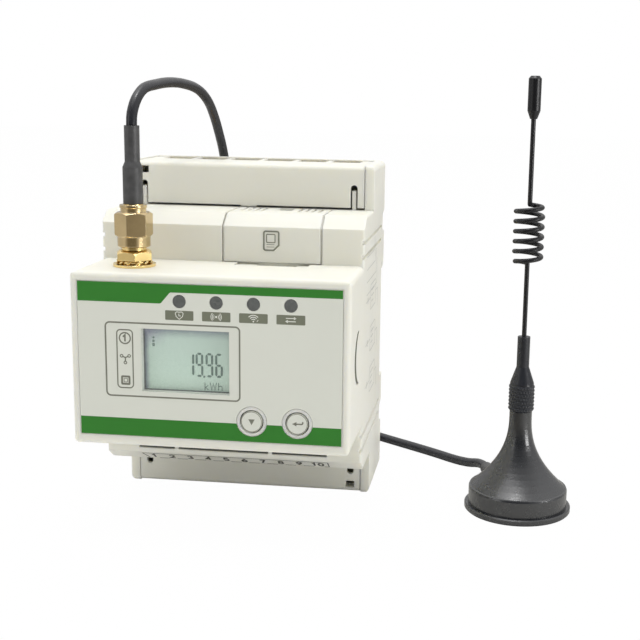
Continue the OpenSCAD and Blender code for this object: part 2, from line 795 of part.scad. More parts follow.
module power_supply() color(dark_grey) at_meter() {
  translate([supply_x, main_y - supply_t, supply_z]) cube([supply_w, supply_t, supply_h]);
  for (k = [0, 1])
    bar_y(supply_x + supply_w + 0.65 * capacitor_pitch + k * capacitor_pitch, capacitor_z,
          main_y - capacitor_l, main_y, capacitor_d);
}

module current_transformers() color([0.3, 0.2, 0.15]) at_meter()
  for (k = [-1:1])
    translate([k * ring_pitch, main_rear, 0]) rotate([-90, 0, 0]) ring(ring_d, ring_bore, ring_t);

// ---------- SIM door ----------

module sim_door() color(shell_grey) at_meter()
  difference() {
    union() {
      along_x(door_x0 + door_rebate, door_x1 - door_rebate) door_outline(door_t, door_back);
      along_x(door_x0, door_x1)
        difference() {
          door_outline(door_t, door_back);
          door_outline(door_rebate, door_back + over);
        }
      // skirts that locate the door in its hole
      for (x = [door_x0 + door_ledge + cover_gap, door_x1 - door_ledge - cover_gap - door_skirt])
        along_x(x, x + door_skirt)
          intersection() {
            door_outline(door_t + 2, door_back - door_ledge - cover_gap);
            translate([0, door_z0 + 0.6]) square([body_d, body_h]);
          }
    }
    for (g = [0, 1], i = [0:grip_count - 1]) {
      x = g == 0 ? door_x0 + 2.2 + i * grip_step
                 : door_x1 - 2.2 - grip_w - i * grip_step;
      box([x, door_back - grip_len, step_z - grip_depth], [x + grip_w, door_back + over, step_z + over]);
    }
    box([sim_x - 1.4, door_back - 6, step_z - 0.8], [sim_x + 2.8, door_back + over, step_z + over]);
  }

// ---------- Terminal sections ----------

// x of terminal i.
function term_x(i) = (i - (term_count - 1) / 2) * term_pitch;

module cover_outline()
  difference() {
    intersection() {
      soft_rect([term_y, 0], [body_d + body_h, cover_z1], brow_r);
      translate([term_y, cover_z0]) square([cover_back - term_y, half_h]);
    }
    soft_rect([term_y + cover_t, -body_h], [body_d + body_h, cover_z1 - cover_t],
              0.4 * brow_r);
  }

module cover() color(shell_grey) at_meter() {
  difference() {
    along_x(-cover_x, cover_x) cover_outline();
    for (i = [0:term_count - 1])
      box([term_x(i) - notch_w / 2, notch_y, cover_z1 - cover_t - over],
          [term_x(i) + notch_w / 2, cover_back + over, half_h + over]);
    for (x = [-slot_x, slot_x]) {
      box([x - slot_w / 2, term_y - over, cover_z0 - over],
          [x + slot_w / 2, term_y + cover_t + over, slot_z1 - slot_w / 2]);
      bar_y(x, slot_z1 - slot_w / 2, term_y - over, term_y + cover_t + over, slot_w);
    }
    box([-slot_x - peep_w / 2, term_y - over, peep_z - peep_h / 2],
        [-slot_x + peep_w / 2, term_y + cover_t + over, peep_z + peep_h / 2]);
  }
  // cheeks that run along the housing's side walls
  for (s = [-1, 1])
    translate([s * (cover_x - 0.6), 0, 0])
      box([-0.6, term_y + cover_t - 0.1, cover_z0], [0.6, notch_y - 1, cover_z1 - cover_t + 0.1]);
  // snap tab in the middle of the lower edge
  box([-tab_w / 2, term_y, cover_z0 - tab_h], [tab_w / 2, term_y + cover_t, cover_z0 + 0.1]);
}

module upper_terminal_cover() cover();

module lower_terminal_cover() translate([0, 0, body_h]) turned() cover();

module terminal_block()
  difference() {
    box([-block_x, block_y0, step_z], [block_x, term_back, block_z1]);
    for (i = [0:term_count - 1]) {
      box([term_x(i) - clamp_w / 2 - seat_gap, clamp_y0 - seat_gap, clamp_z0],
          [term_x(i) + clamp_w / 2 + seat_gap, clamp_back + seat_gap, half_h]);
      bar_y(term_x(i), clamp_mid, block_y0 - over, clamp_y0 + over, screw_head_d + 2 * cover_gap);
    }
  }

module clamps()
  for (i = [0:term_count - 1])
    difference() {
      box([term_x(i) - clamp_w / 2, clamp_y0, clamp_z0], [term_x(i) + clamp_w / 2, clamp_back, clamp_z1]);
      box([term_x(i) - wire_w / 2, wire_y0, clamp_z0 - over],
          [term_x(i) + wire_w / 2, wire_y1, clamp_z1 + over]);
      bar_y(term_x(i), clamp_mid, clamp_y0 - over, wire_y0 + over, screw_d);
    }

module clamp_screws()
  for (i = [0:term_count - 1])
    difference() {
      union() {
        bar_y(term_x(i), clamp_mid, screw_head_y, screw_head_y + screw_head_t, screw_head_d);
        bar_y(term_x(i), clamp_mid, screw_head_y + screw_head_t - 0.1, wire_y0, screw_d - 0.1);
      }
      for (a = [0, 90])
        translate([term_x(i), screw_head_y, clamp_mid]) rotate([0, a, 0])
          cube([3.4, 2.4, 0.9], center = true);
    }

module upper_terminal_block() color(dark_grey) at_meter() terminal_block();
module lower_terminal_block() color(dark_grey) at_meter() turned() terminal_block();
module upper_clamps() color(brass) at_meter() clamps();
module lower_clamps() color(brass) at_meter() turned() clamps();
module upper_clamp_screws() color(brass) at_meter() clamp_screws();
module lower_clamp_screws() color(brass) at_meter() turned() clamp_screws();

// ---------- Signal terminals ----------

module signal_headers() color(dark_grey) at_meter()
  for (k = [0:len(plug_ways) - 1])
    box([plug_lo(k), plug_back, plug_low_z], [plug_hi(k), main_y, plug_top]);

module signal_plugs() color(dark_grey) at_meter()
  for (k = [0:len(plug_ways) - 1])
    difference() {
      along_x(plug_lo(k), plug_hi(k))
        polygon([[plug_y0, plug_top], [plug_y0, plug_front_z], [plug_step_y, plug_front_z],
                 [plug_step_y, plug_low_z], [plug_back, plug_low_z], [plug_back, plug_top]]);
      for (i = [0:plug_ways[k] - 1]) {
        x = plug_lo(k) + (i + 0.5) * way_pitch;
        bar_y(x, way_screw_z, plug_y0 - over, plug_y0 + 4, way_screw_d + 0.4);
        box([x - 1.7, wire_slot_y[0] + 0.2, plug_low_z - over],
            [x + 1.7, wire_slot_y[1] - 0.2, plug_low_z + 5]);
      }
    }

module signal_screws() color(brass) at_meter()
  for (k = [0:len(plug_ways) - 1], i = [0:plug_ways[k] - 1])
    difference() {
      bar_y(plug_lo(k) + (i + 0.5) * way_pitch, way_screw_z, plug_y0 + 1.2, plug_y0 + 4, way_screw_d);
      translate([plug_lo(k) + (i + 0.5) * way_pitch, plug_y0 + 1.2, way_screw_z])
        cube([way_screw_d + 1, 1.2, 0.6], center = true);
    }

// ---------- Rail clip ----------

module din_clip() color(black) at_meter()
  difference() {
    union() {
      box([-clip_w / 2, clip_y0, clip_end_z], [clip_w / 2, clip_y1, hook_z0 + 0.1]);
      // hook, bevelled so that the rail pushes it aside
      along_x(-clip_w / 2, clip_w / 2)
        polygon([[hook_y0, hook_z0], [hook_y0, clip_tip_z], [hook_y0 + 0.6, clip_tip_z],
                 [clip_y1, clip_tip_z - 2.4], [clip_y1, hook_z0]]);
      // pull tab at the lower end
      box([-clip_w / 2 + clip_lip + cover_gap, clip_y1 - 0.1, clip_end_z],
          [clip_w / 2 - clip_lip - cover_gap, body_d - 0.2, clip_end_z + 1.6]);
    }
    box([-window_w / 2, clip_y0 - over, window_z0], [window_w / 2, clip_y1 + over, window_z1]);
    box([-3, clip_y0 - over, clip_end_z + 2.2], [3, clip_y1 + over, clip_end_z + 4]);
  }

// Compression spring between the housing's peg and the clip.
module clip_spring() color([0.7, 0.7, 0.72]) at_meter() {
  rings = spring_turns * 8;
  r = (spring_d - spring_wire) / 2;
  z0 = spring_z0 + spring_wire / 2;
  rise = spring_z1 - spring_z0 - spring_wire;
  tube([for (i = [0:rings])
          [r * cos(45 * i), spring_y + r * sin(45 * i), z0 + rise * i / rings]],
       spring_wire, loop_sides, [0, 0, 1]);
}

// ---------- Antenna plug ----------

module at_socket() at_meter() translate([sma_x, sma_y, 0]) children();

module antenna_jack() color(gold) at_socket()
  difference() {
    union() {
      translate([-jack_w / 2, -jack_w / 2, radio_top])
        cube([jack_w, jack_w, half_nose - wall - radio_top - 0.1]);
      bar_z(0, 0, radio_top + 1, thread_top, thread_d);
    }
    bar_z(0, 0, thread_top - 3, thread_top + over, thread_d - 1.8);
  }

module flat_washer() color(gold) at_socket() translate([0, 0, half_nose])
  ring(washer_d, thread_d + 2 * seat_gap, washer_t);

module star_washer() color(gold) at_socket() translate([0, 0, half_nose + washer_t]) {
  inner = thread_d + 2 * seat_gap;
  tooth_l = (star_d - inner) / 2 - star_ring / 2;
  translate([0, 0, star_t * 0.3]) ring(inner + 2 * star_ring, inner, star_t * 0.4);
  for (k = [0:star_teeth - 1])
    rotate(k * 360 / star_teeth)
      translate([star_d / 2 - tooth_l / 2, 0, star_t / 2]) rotate([28, 0, 0])
        cube([tooth_l, 1.3, star_t * 0.38], center = true);
}

module jack_nut() color(gold) at_socket() translate([0, 0, nut_z])
  difference() {
    intersection() {
      rotate(nut_turn) cylinder(d = nut_af / cos(30), h = nut_h, $fn = 6);
      cylinder(d1 = nut_af / cos(30) + 2 * nut_h, d2 = nut_af - 1.3, h = nut_h);
    }
    translate([0, 0, -over]) cylinder(d = thread_d + 2 * run_gap, h = nut_h + 2 * over);
  }

module coupling_nut() color(brass) at_socket() translate([0, 0, coupling_z])
  difference() {
    union() {
      cylinder(d1 = coupling_low_d - coupling_edge, d2 = coupling_low_d, h = coupling_edge / 2);
      translate([0, 0, coupling_edge / 2])
        cylinder(d = coupling_low_d, h = coupling_low_h - coupling_edge / 2);
      // hexagon, bevelled round both ends
      translate([0, 0, coupling_low_h - 0.1])
        intersection() {
          rotate(coupling_turn)
            cylinder(d = coupling_af / cos(30), h = coupling_hex_h + 0.1, $fn = 6);
          cylinder(d1 = coupling_af - 0.1, d2 = coupling_af + 3 * coupling_hex_h, h = coupling_hex_h + 0.1);
          cylinder(d1 = coupling_af + 3 * coupling_hex_h, d2 = coupling_af - 0.4, h = coupling_hex_h + 0.1);
        }
      translate([0, 0, coupling_low_h + coupling_hex_h - 0.1])
        cylinder(d = coupling_top_d - 0.4, h = coupling_top_h + 0.1);
      translate([0, 0, coupling_h - 0.8]) cylinder(d = coupling_top_d, h = 0.8);
    }
    translate([0, 0, -over])
      cylinder(d = thread_d + 2 * run_gap, h = thread_top - coupling_z + 0.5 + over);
    cylinder(d = plug_d + 2 * run_gap, h = coupling_h + over);
  }

module plug_body() color(gold) at_socket() {
  bar_z(0, 0, thread_top, boot_z, plug_d);
  bar_z(0, 0, boot_z - 0.1, boot_z + crimp_h, crimp_d);
}

module plug_boot() color(black) at_socket()
  difference() {
    union() {
      bar_z(0, 0, boot_z, boot_z + boot_low_h - 1, boot_low_d);
      translate([0, 0, boot_z + boot_low_h - 1])
        cylinder(d1 = boot_low_d, d2 = boot_top_d, h = 1.4);
      bar_z(0, 0, boot_z + boot_low_h, boot_z + boot_h, boot_top_d);
    }
    bar_z(0, 0, boot_z - over, boot_z + crimp_h, crimp_d);
  }

// ---------- Antenna lead ----------

// The stowed coil: a spiral that runs in and out again, layer by layer from
// the top, and sinks a layer in the half turn round each reversal.
stow_half = stow_turns / stow_layers;
function stow_fold(u) =
  let (k = floor(u / stow_half), f = u - k * stow_half)
  k % 2 == 0 ? f : stow_half - f;
function stow_drop(u) =
  let (k = round(u / stow_half), f = u - k * stow_half)
  k < 1 || k > stow_layers - 1
    ? (k < 1 ? 0 : stow_layers - 1)
    : k - 1 + min(1, max(0, 2 * f + 0.5));
function stow_point(u) =
  let (a = stow_start - 360 * u,
       r = stow_r - stow_step * stow_fold(u),
       z = stow_lift + cord_d / 2 + stow_step * (stow_layers - 1 - stow_drop(u)))
  [stow_xy.x + r * cos(a), stow_xy.y + r * sin(a), z];
function stow_lead(u, s) =
  let (a = stow_start - 360 * u) stow_point(u) + s * cord_d * [sin(a), -cos(a), 0];
stow_path = concat(
  [stow_lead(0, -1)],
  [for (i = [0:round(stow_turns * loop_rings)]) stow_point(min(i / loop_rings, stow_turns))],
  [stow_lead(stow_turns, 1)]);

module cable_front() color(black)
  tube(concat([[sma_x, sma_y - foot_y, half_h + boot_z + boot_h]],
              [for (i = [1:len(front_route) - 1]) front_route[i]], [stow_lead(0, -1)]),
       cord_d, cord_sides, [1, 0, 0]);

module cable_coil() color(black) tube(stow_path, cord_d, loop_sides, [0, 0, 1]);

module cable_rear() color(black)
  tube(concat([stow_lead(stow_turns, 1)], rear_route, [relief_end + cord_d * relief_way, relief_end]),
       cord_d, cord_sides, [0, 0, 1]);

// A strap round the coil's turns.
module cable_tie() color(black)
  translate([stow_xy.x, stow_xy.y, 0]) rotate(290) {
    t = 0.5;
    r0 = stow_r - stow_half * stow_step - cord_d / 2 - 1;
    r1 = stow_r + cord_d / 2 + 0.2;
    z1 = stow_lift + cord_d + (stow_layers - 1) * stow_step + 0.2;
    difference() {
      box([r0 - t, -3.5, 0], [r1 + t, 3.5, z1 + t]);
      box([r0, -3.5 - over, t], [r1, 3.5 + over, z1]);
    }
  }

// ---------- Antenna ----------

// Where the relief ends, in the part's frame, and the way it points.
relief_way = [cos(relief_angle), sin(relief_angle), 0];
relief_end = [antenna_xy.x, antenna_xy.y - foot_y, relief_z] + relief_way * (drum_d / 2 + relief_len);

module cable_relief() color(black) at_antenna()
  translate([0, 0, relief_z]) rotate([0, 90, relief_angle])
    translate([0, 0, drum_d / 2 - 0.6])
      cylinder(d1 = relief_d0, d2 = relief_d1, h = relief_len + 0.6);

// Radius of the flared shell at height share t above its wall.
function flare(t) = neck_d / 2 + (drum_d - 1.2 - neck_d) / 2 * pow(1 - t, flare_power);

module antenna_shell() color(black) at_antenna()
  difference() {
    rotate_extrude()
      polygon(concat(
        [[0, 0], [rim_d / 2 - 0.3, 0], [rim_d / 2, 0.3], [rim_d / 2, rim_h - 0.3],
         [rim_d / 2 - 0.3, rim_h], [drum_d / 2, rim_h], [drum_d / 2, drum_h - 0.6],
         [drum_d / 2 - 0.2, drum_h - 0.1]],
        [for (i = [0:flare_steps])
           [flare(i / flare_steps), drum_h + (neck_h - 2 - drum_h) * i / flare_steps]],
        [[neck_d / 2, neck_h], [0, neck_h]]));
    bar_z(0, 0, -over, foot_t, magnet_d + 2 * seat_gap);
    bar_z(0, 0, foot_t - 0.1, magnet_top, magnet_d + 2 * seat_gap);
    bar_z(0, 0, magnet_top - over, neck_h + over, stud_d);
    translate([0, 0, relief_z]) rotate([0, 90, relief_angle])
      translate([0, 0, drum_d / 2 - 0.6]) cylinder(d = relief_d0, h = 3);
  }

module antenna_magnet() color(dark_grey) at_antenna() translate([0, 0, foot_t])
  ring(magnet_d, stud_d + 2, magnet_top - foot_t);

module antenna_foot() color(black) at_antenna() cylinder(d = magnet_d, h = foot_t);

module antenna_stud() color(brass) at_antenna() {
  bar_z(0, 0, foot_t, magnet_top, stud_d + 1.8);
  bar_z(0, 0, magnet_top - 0.1, stud_top, stud_d);
}

module whip_collar() color(black) at_antenna() translate([0, 0, collar_z])
  difference() {
    rotate_extrude()
      polygon(concat(
        [[0, 0], [collar_d / 2 - 0.3, 0]],
        [for (i = [0:knurl_rows - 1])
           let (z = 0.3 + i * (collar_h - 0.6) / knurl_rows, h = (collar_h - 0.6) / knurl_rows)
           each [[collar_d / 2, z], [collar_d / 2, z + h * 0.72],
                 [collar_d / 2 - 0.25, z + h * 0.78], [collar_d / 2 - 0.25, z + h * 0.96]]],
        [[collar_d / 2 - 0.3, collar_h], [0, collar_h]]));
    translate([0, 0, -over]) cylinder(d = stud_d + 2 * run_gap, h = stud_top - collar_z + 0.3 + over);
  }

module whip_ferrule() color(black) at_antenna() translate([0, 0, ferrule_z])
  difference() {
    union() {
      cylinder(d1 = collar_d - 0.2, d2 = ferrule_d, h = ferrule_cone_h);
      cylinder(d = ferrule_d, h = ferrule_h);
    }
    translate([0, 0, ferrule_cone_h]) cylinder(d = wire_t, h = ferrule_h);
  }

// The whip's wire: straight, wound into the loading coil, straight again.
// It moves out to the coil's radius and back over the share `ease` of a turn.
ease = 0.33;
function ease_r(u) =
  let (k = min(u, coil_turns - u) / ease) k >= 1 ? coil_r : coil_r * k * k * (3 - 2 * k);
function wire_at(u) = [ease_r(u) * cos(360 * u + 90), ease_r(u) * sin(360 * u + 90),
                       coil_z + coil_pitch * u];
wire_z0 = ferrule_z + ferrule_cone_h;
wire_z1 = tip_z + tip_cone_h;
wire_path = concat(
  [[0, 0, wire_z0], [0, 0, (wire_z0 + coil_z) / 2], [0, 0, coil_z - wire_t]],
  [for (i = [1:coil_turns * loop_rings - 1]) wire_at(i / loop_rings)],
  [[0, 0, coil_z + coil_turns * coil_pitch + wire_t],
   [0, 0, (wire_z1 + coil_z + coil_turns * coil_pitch) / 2], [0, 0, wire_z1]]);

module whip_wire() color(black) at_antenna() tube(wire_path, wire_t, loop_sides, [1, 0, 0]);

module whip_tip() color(black) at_antenna() translate([0, 0, tip_z])
  difference() {
    union() {
      cylinder(d1 = wire_t + 0.6, d2 = tip_d, h = tip_cone_h);
      translate([0, 0, tip_cone_h]) cylinder(d = tip_d, h = tip_h - tip_cone_h - 0.7);
      translate([0, 0, tip_h - 0.7]) cylinder(d1 = tip_d, d2 = tip_d - 1.2, h = 0.7);
    }
    translate([0, 0, -over]) cylinder(d = wire_t, h = tip_cone_h + over);
  }

echo(stowed_coil_gap = least_gap(stow_path, cord_d, 12));
echo(loading_coil_gap = least_gap(wire_path, wire_t, 12));

front_housing();
rear_housing();
front_label();
lcd_window();
lcd_module();
led_lenses();
button(key_x[0]);  // button_down
button(key_x[1]);  // button_enter
tact_switches();
display_board();
main_board();
radio_module();
radio_shield();
sim_holder();
sim_card();
sim_door();
power_supply();
current_transformers();
upper_terminal_cover();
lower_terminal_cover();
upper_terminal_block();
lower_terminal_block();
upper_clamps();
lower_clamps();
upper_clamp_screws();
lower_clamp_screws();
signal_headers();
signal_plugs();
signal_screws();
din_clip();
clip_spring();
antenna_jack();
flat_washer();
star_washer();
jack_nut();
plug_body();
coupling_nut();
plug_boot();
cable_front();
cable_coil();
cable_rear();
cable_tie();
cable_relief();
antenna_shell();
antenna_magnet();
antenna_foot();
antenna_stud();
whip_collar();
whip_ferrule();
whip_wire();
whip_tip();
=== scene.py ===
"""Looks of a rail-mounted energy meter and its cabled antenna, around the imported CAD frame."""
import math

import bmesh
import bpy
from mathutils import Matrix, Vector


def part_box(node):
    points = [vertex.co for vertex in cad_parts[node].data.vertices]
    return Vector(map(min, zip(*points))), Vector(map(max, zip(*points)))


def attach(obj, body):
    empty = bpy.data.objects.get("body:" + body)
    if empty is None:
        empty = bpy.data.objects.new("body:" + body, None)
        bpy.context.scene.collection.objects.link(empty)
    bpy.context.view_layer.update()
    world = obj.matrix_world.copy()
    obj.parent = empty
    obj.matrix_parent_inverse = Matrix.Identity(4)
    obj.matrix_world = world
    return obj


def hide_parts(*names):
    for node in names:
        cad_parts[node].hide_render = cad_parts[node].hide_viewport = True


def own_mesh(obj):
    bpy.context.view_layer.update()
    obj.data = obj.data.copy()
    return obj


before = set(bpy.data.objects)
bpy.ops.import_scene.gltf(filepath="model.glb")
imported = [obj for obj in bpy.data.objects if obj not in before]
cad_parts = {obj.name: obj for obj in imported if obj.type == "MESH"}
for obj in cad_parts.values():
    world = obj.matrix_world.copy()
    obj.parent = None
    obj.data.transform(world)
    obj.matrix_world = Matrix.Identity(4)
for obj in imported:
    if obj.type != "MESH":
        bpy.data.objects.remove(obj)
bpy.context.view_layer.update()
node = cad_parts
scene = bpy.context.scene

# The meter's drawing frame: millimetres from the middle of the nose's front. The row frame's
# origin lies this far behind it and below it.
FOOT_Y = 58.2
HALF_H = 48.0
HALF_W = 36


def at(x, y, z):
    """A point of the meter's drawing frame, in the row frame."""
    return Vector((x, y - FOOT_Y, z + HALF_H)) / 1000


def srgb(r, g, b):
    """Linear colour of an 8-bit one."""
    def one(c):
        c /= 255
        return c / 12.92 if c <= 0.04045 else ((c + 0.055) / 1.055) ** 2.4
    return (one(r), one(g), one(b), 1.0)


# ---------------------------------------------------------------- camera

FOCAL_PX = 1127.5
CENTRE_PX = (372.8, 307.42)
PICTURE = 640
EYE = (72.39, -269.75, 67.78)
YAW, PITCH, ROLL = 0.1148, 0.1875, 0.0181
SENSOR_MM = 36
NEAREST = 0.01


def make_camera():
    """The photograph's camera, with the middle of its lens off the middle of the picture."""
    data = bpy.data.cameras.new("camera")
    data.sensor_width = SENSOR_MM
    data.lens = FOCAL_PX * data.sensor_width / PICTURE
    data.shift_x = (PICTURE / 2 - CENTRE_PX[0]) / PICTURE
    data.shift_y = (CENTRE_PX[1] - PICTURE / 2) / PICTURE
    data.clip_start = NEAREST
    cam = bpy.data.objects.new("camera", data)
    scene.collection.objects.link(cam)
    turn = Matrix.Rotation(YAW, 3, "Z") @ Matrix.Rotation(-PITCH, 3, "X")
    right, ahead, up = (turn @ Vector(v) for v in ((1, 0, 0), (0, 1, 0), (0, 0, 1)))
    c, s = math.cos(ROLL), math.sin(ROLL)
    right, up = c * right + s * up, c * up - s * right
    cam.matrix_world = Matrix.Translation(at(*EYE)) @ Matrix(
        (right, up, -ahead)).transposed().to_4x4()
    scene.camera = cam


make_camera()

# ---------------------------------------------------------------- node helpers


class Graph:
    """A short way to build a node tree."""

    def __init__(self, tree):
        self.tree = tree
        tree.nodes.clear()

    def add(self, kind, inputs=None, **settings):
        n = self.tree.nodes.new(kind)
        for key, value in settings.items():
            setattr(n, key, value)
        for key, value in (inputs or {}).items():
            if isinstance(value, bpy.types.NodeSocket):
                self.tree.links.new(value, n.inputs[key])
            else:
                n.inputs[key].default_value = value
        return n

    def coords(self):
        return self.add("ShaderNodeTexCoord").outputs["Object"]

    def noise(self, scale, detail=2.0, vector=None):
        return self.add("ShaderNodeTexNoise", {
            "Vector": vector or self.coords(), "Scale": scale,
            "Detail": detail, "Roughness": 0.5}).outputs["Fac"]

    def maths(self, kind, a, b=0.0, clamp=False):
        return self.add("ShaderNodeMath", {0: a, 1: b}, operation=kind,
                        use_clamp=clamp).outputs[0]

    def spread(self, value, lo, hi, from_lo=0.0, from_hi=1.0):
        return self.add("ShaderNodeMapRange", {
            "Value": value, "From Min": from_lo, "From Max": from_hi,
            "To Min": lo, "To Max": hi}).outputs["Result"]

    def mix(self, share, a, b):
        # Sockets 6, 7 and output 2 are the colour ones.
        return self.add("ShaderNodeMix", {0: share, 6: a, 7: b}, data_type="RGBA").outputs[2]

    def output(self, shader, kind="ShaderNodeOutputMaterial"):
        self.add(kind, {"Surface": shader.outputs[0]})


def new_material(name):
    m = bpy.data.materials.new(name)
    m.use_nodes = True
    return m, Graph(m.node_tree)


def shaded(colour, factor):
    return tuple(min(1.0, c * factor) for c in colour[:3]) + (1.0,)


# Most of a noise's values lie in the wider range; the narrower one gives harder patches.
DRIFT = (0.3, 0.7)
PATCHES = (0.35, 0.65)
WEAR_SCALE = 700.0
GLOSS_SCALE = 260.0
BEVEL_SAMPLES = 4
# The true and the rounded normal's dot product, on a sharp edge and on a flat face.
EDGE_DOT = (0.75, 0.995)


def edge_share(g, radius):
    """0 on flat faces, rising to 1 on edges sharper than the radius; and the rounded normal."""
    soft = g.add("ShaderNodeBevel", {"Radius": radius}, samples=BEVEL_SAMPLES).outputs["Normal"]
    true = g.add("ShaderNodeNewGeometry").outputs["True Normal"]
    dot = g.add("ShaderNodeVectorMath", {0: soft, 1: true}, operation="DOT_PRODUCT")
    return g.spread(dot.outputs["Value"], 1.0, 0.0, *EDGE_DOT), soft


def material(name, colour, rough, metal=0.0, blotch=0.04, blotch_scale=45.0, grain=0.0,
             grain_scale=2600.0, grain_size=0.00002, rough_var=0.06, edge=0.0,
             edge_colour=None, fixed=None, stretch=None, streak=0.0):
    """A procedural surface: colour drift, fine grain, uneven gloss and softened edges, lighter in
    patches from wear and from a painted highlight.
    """
    m, g = new_material(name)
    where = g.coords()
    drift = g.noise(blotch_scale, 3.0, where)
    col = g.mix(g.spread(drift, 0.0, 1.0, *DRIFT), shaded(colour, 1 - blotch),
                shaded(colour, 1 + blotch))
    normal = None
    if edge:
        share, normal = edge_share(g, edge)
        # Lighter edges: partly wear, partly a painted highlight.
        wear_and_highlight_patches = g.spread(g.noise(WEAR_SCALE, 2.0, where), 0.3, 1.0, *PATCHES)
        col = g.mix(g.maths("MULTIPLY", share, wear_and_highlight_patches), col, edge_colour or shaded(colour, 1.1))
    rough_now = g.spread(g.noise(GLOSS_SCALE, 2.0, where), max(0.02, rough - rough_var),
                         min(1.0, rough + rough_var), *DRIFT)
    vec = where
    if stretch:
        vec = g.add("ShaderNodeMapping", {"Vector": where, "Scale": stretch}).outputs["Vector"]
    if streak:
        lines = g.noise(grain_scale, 2.0, vec)
        rough_now = g.maths("ADD", rough_now, g.spread(lines, -streak, streak, *DRIFT), True)
    inputs = {"Base Color": col, "Roughness": rough_now, "Metallic": metal}
    if grain:
        bump = {"Height": g.noise(grain_scale, 2.0, vec), "Strength": grain,
                "Distance": grain_size}
        if normal is not None:
            bump["Normal"] = normal
        normal = g.add("ShaderNodeBump", bump).outputs["Normal"]
    if normal is not None:
        inputs["Normal"] = normal
    inputs.update(fixed or {})
    g.output(g.add("ShaderNodeBsdfPrincipled", inputs))
    return m


# ---------------------------------------------------------------- materials

MAT = {}


def look(name, rgb, rough, **more):
    """Adds a surface to the table, from its 8-bit colour and roughness."""
    MAT[name] = material(name, srgb(*rgb), rough, **more)


# Each edge colour below is partly wear and partly a painted highlight.
look("housing", (236, 235, 225), 0.46, blotch=0.012, grain=0.22, grain_scale=3200.0, edge=0.00035,
     edge_colour=srgb(246, 245, 238),
     fixed={"Subsurface Weight": 0.7, "Subsurface Scale": 0.0016,
            "Subsurface Radius": (1.0, 0.95, 0.8)})
look("panel", (226, 228, 217), 0.36, blotch=0.01, grain=0.10, grain_scale=4200.0, edge=0.0001)
look("ink_green", (57, 131, 50), 0.34, blotch=0.03, blotch_scale=90.0, grain=0.08,
     grain_scale=4200.0, fixed={"Specular IOR Level": 0.2})
look("ink_grey", (124, 127, 110), 0.4, blotch=0.04, grain=0.06, fixed={"Specular IOR Level": 0.2})
# Line ink for print; the grip crescents' painted shadow uses it too.
look("line_ink_and_shadow", (126, 127, 113), 0.42, blotch=0.08, blotch_scale=400.0, grain=0.05)
look("ink_light", (238, 239, 230), 0.4, blotch=0.03, grain=0.05)
look("ink_faint", (196, 197, 189), 0.45, blotch=0.05, blotch_scale=300.0, grain=0.1)
look("ink_dark", (66, 68, 62), 0.42, blotch=0.10, blotch_scale=500.0, grain=0.05)
look("lcd_dark", (72, 108, 94), 0.4, blotch=0.12, blotch_scale=700.0, grain=0.05)
look("lcd_pale", (96, 128, 116), 0.4, blotch=0.15, blotch_scale=900.0, grain=0.05)
look("lens", (98, 101, 100), 0.22, blotch=0.10, blotch_scale=900.0, grain=0.05, edge=0.0002,
     edge_colour=srgb(150, 150, 150), fixed={"Coat Weight": 0.6, "Coat Roughness": 0.08})
look("board", (26, 92, 52), 0.4, blotch=0.08, blotch_scale=300.0, grain=0.3, grain_scale=1500.0,
     edge=0.0001, edge_colour=srgb(150, 130, 80))
look("radio_board", (24, 60, 104), 0.4, blotch=0.08, blotch_scale=300.0, grain=0.3,
     grain_scale=1500.0)
look("dark_moulding", (112, 113, 104), 0.5, blotch=0.05, grain=0.3, edge=0.0003,
     edge_colour=srgb(140, 141, 132))
look("part_black", (34, 34, 36), 0.35, blotch=0.06, grain=0.2, edge=0.0002)
look("shield", (196, 197, 199), 0.28, metal=1.0, blotch=0.03, grain=0.15, stretch=(1, 14, 1),
     streak=0.08, grain_scale=900.0, edge=0.0002)
look("card", (232, 232, 228), 0.35, blotch=0.01, grain=0.08)
look("winding", (140, 78, 40), 0.35, blotch=0.12, grain=0.7, grain_scale=1800.0, grain_size=0.0001)
look("clamp", (206, 168, 98), 0.3, metal=1.0, blotch=0.08, grain=0.12, stretch=(1, 1, 12),
     streak=0.1, grain_scale=700.0, edge=0.0002, edge_colour=srgb(232, 204, 146))
look("screw", (190, 190, 186), 0.32, metal=1.0, blotch=0.06, grain=0.15, streak=0.08,
     grain_scale=1600.0, edge=0.0002, edge_colour=srgb(226, 226, 224))
look("plug_grey", (62, 64, 64), 0.5, blotch=0.04, grain=0.25, edge=0.0002)
look("clip_black", (38, 38, 40), 0.48, blotch=0.06, grain=0.3, edge=0.0003,
     edge_colour=srgb(80, 80, 82))
look("spring", (198, 198, 200), 0.22, metal=1.0, blotch=0.05, grain=0.1, streak=0.05)
look("gold", (242, 214, 150), 0.14, metal=1.0, blotch=0.05, blotch_scale=260.0, grain=0.04,
     grain_scale=2200.0, streak=0.03, rough_var=0.05, edge=0.00022,
     edge_colour=srgb(255, 240, 196))
look("nut_brass", (206, 184, 142), 0.16, metal=1.0, blotch=0.06, blotch_scale=240.0, grain=0.04,
     grain_scale=1700.0, streak=0.03, rough_var=0.05, edge=0.00035,
     edge_colour=srgb(252, 236, 200))
look("boot", (73, 73, 74), 0.46, blotch=0.22, blotch_scale=420.0, grain=0.7, grain_scale=1300.0,
     grain_size=0.00007, edge=0.0003, edge_colour=srgb(84, 84, 86))
look("cord", (38, 39, 44), 0.26, blotch=0.12, blotch_scale=160.0, grain=0.12, grain_scale=900.0,
     rough_var=0.08)
look("tie", (30, 30, 31), 0.62, blotch=0.15, blotch_scale=500.0, grain=0.9, grain_scale=1500.0,
     grain_size=0.00012)
look("antenna_black", (30, 32, 37), 0.29, blotch=0.10, blotch_scale=70.0, grain=1.0,
     grain_scale=1800.0, grain_size=0.00003, fixed={"Specular IOR Level": 0.85, "IOR": 1.58})
look("magnet", (70, 70, 72), 0.55, metal=0.6, blotch=0.15, grain=0.5, grain_scale=900.0)
look("foot_pad", (36, 36, 36), 0.8, blotch=0.1, grain=0.8, grain_scale=1200.0, grain_size=0.0001)
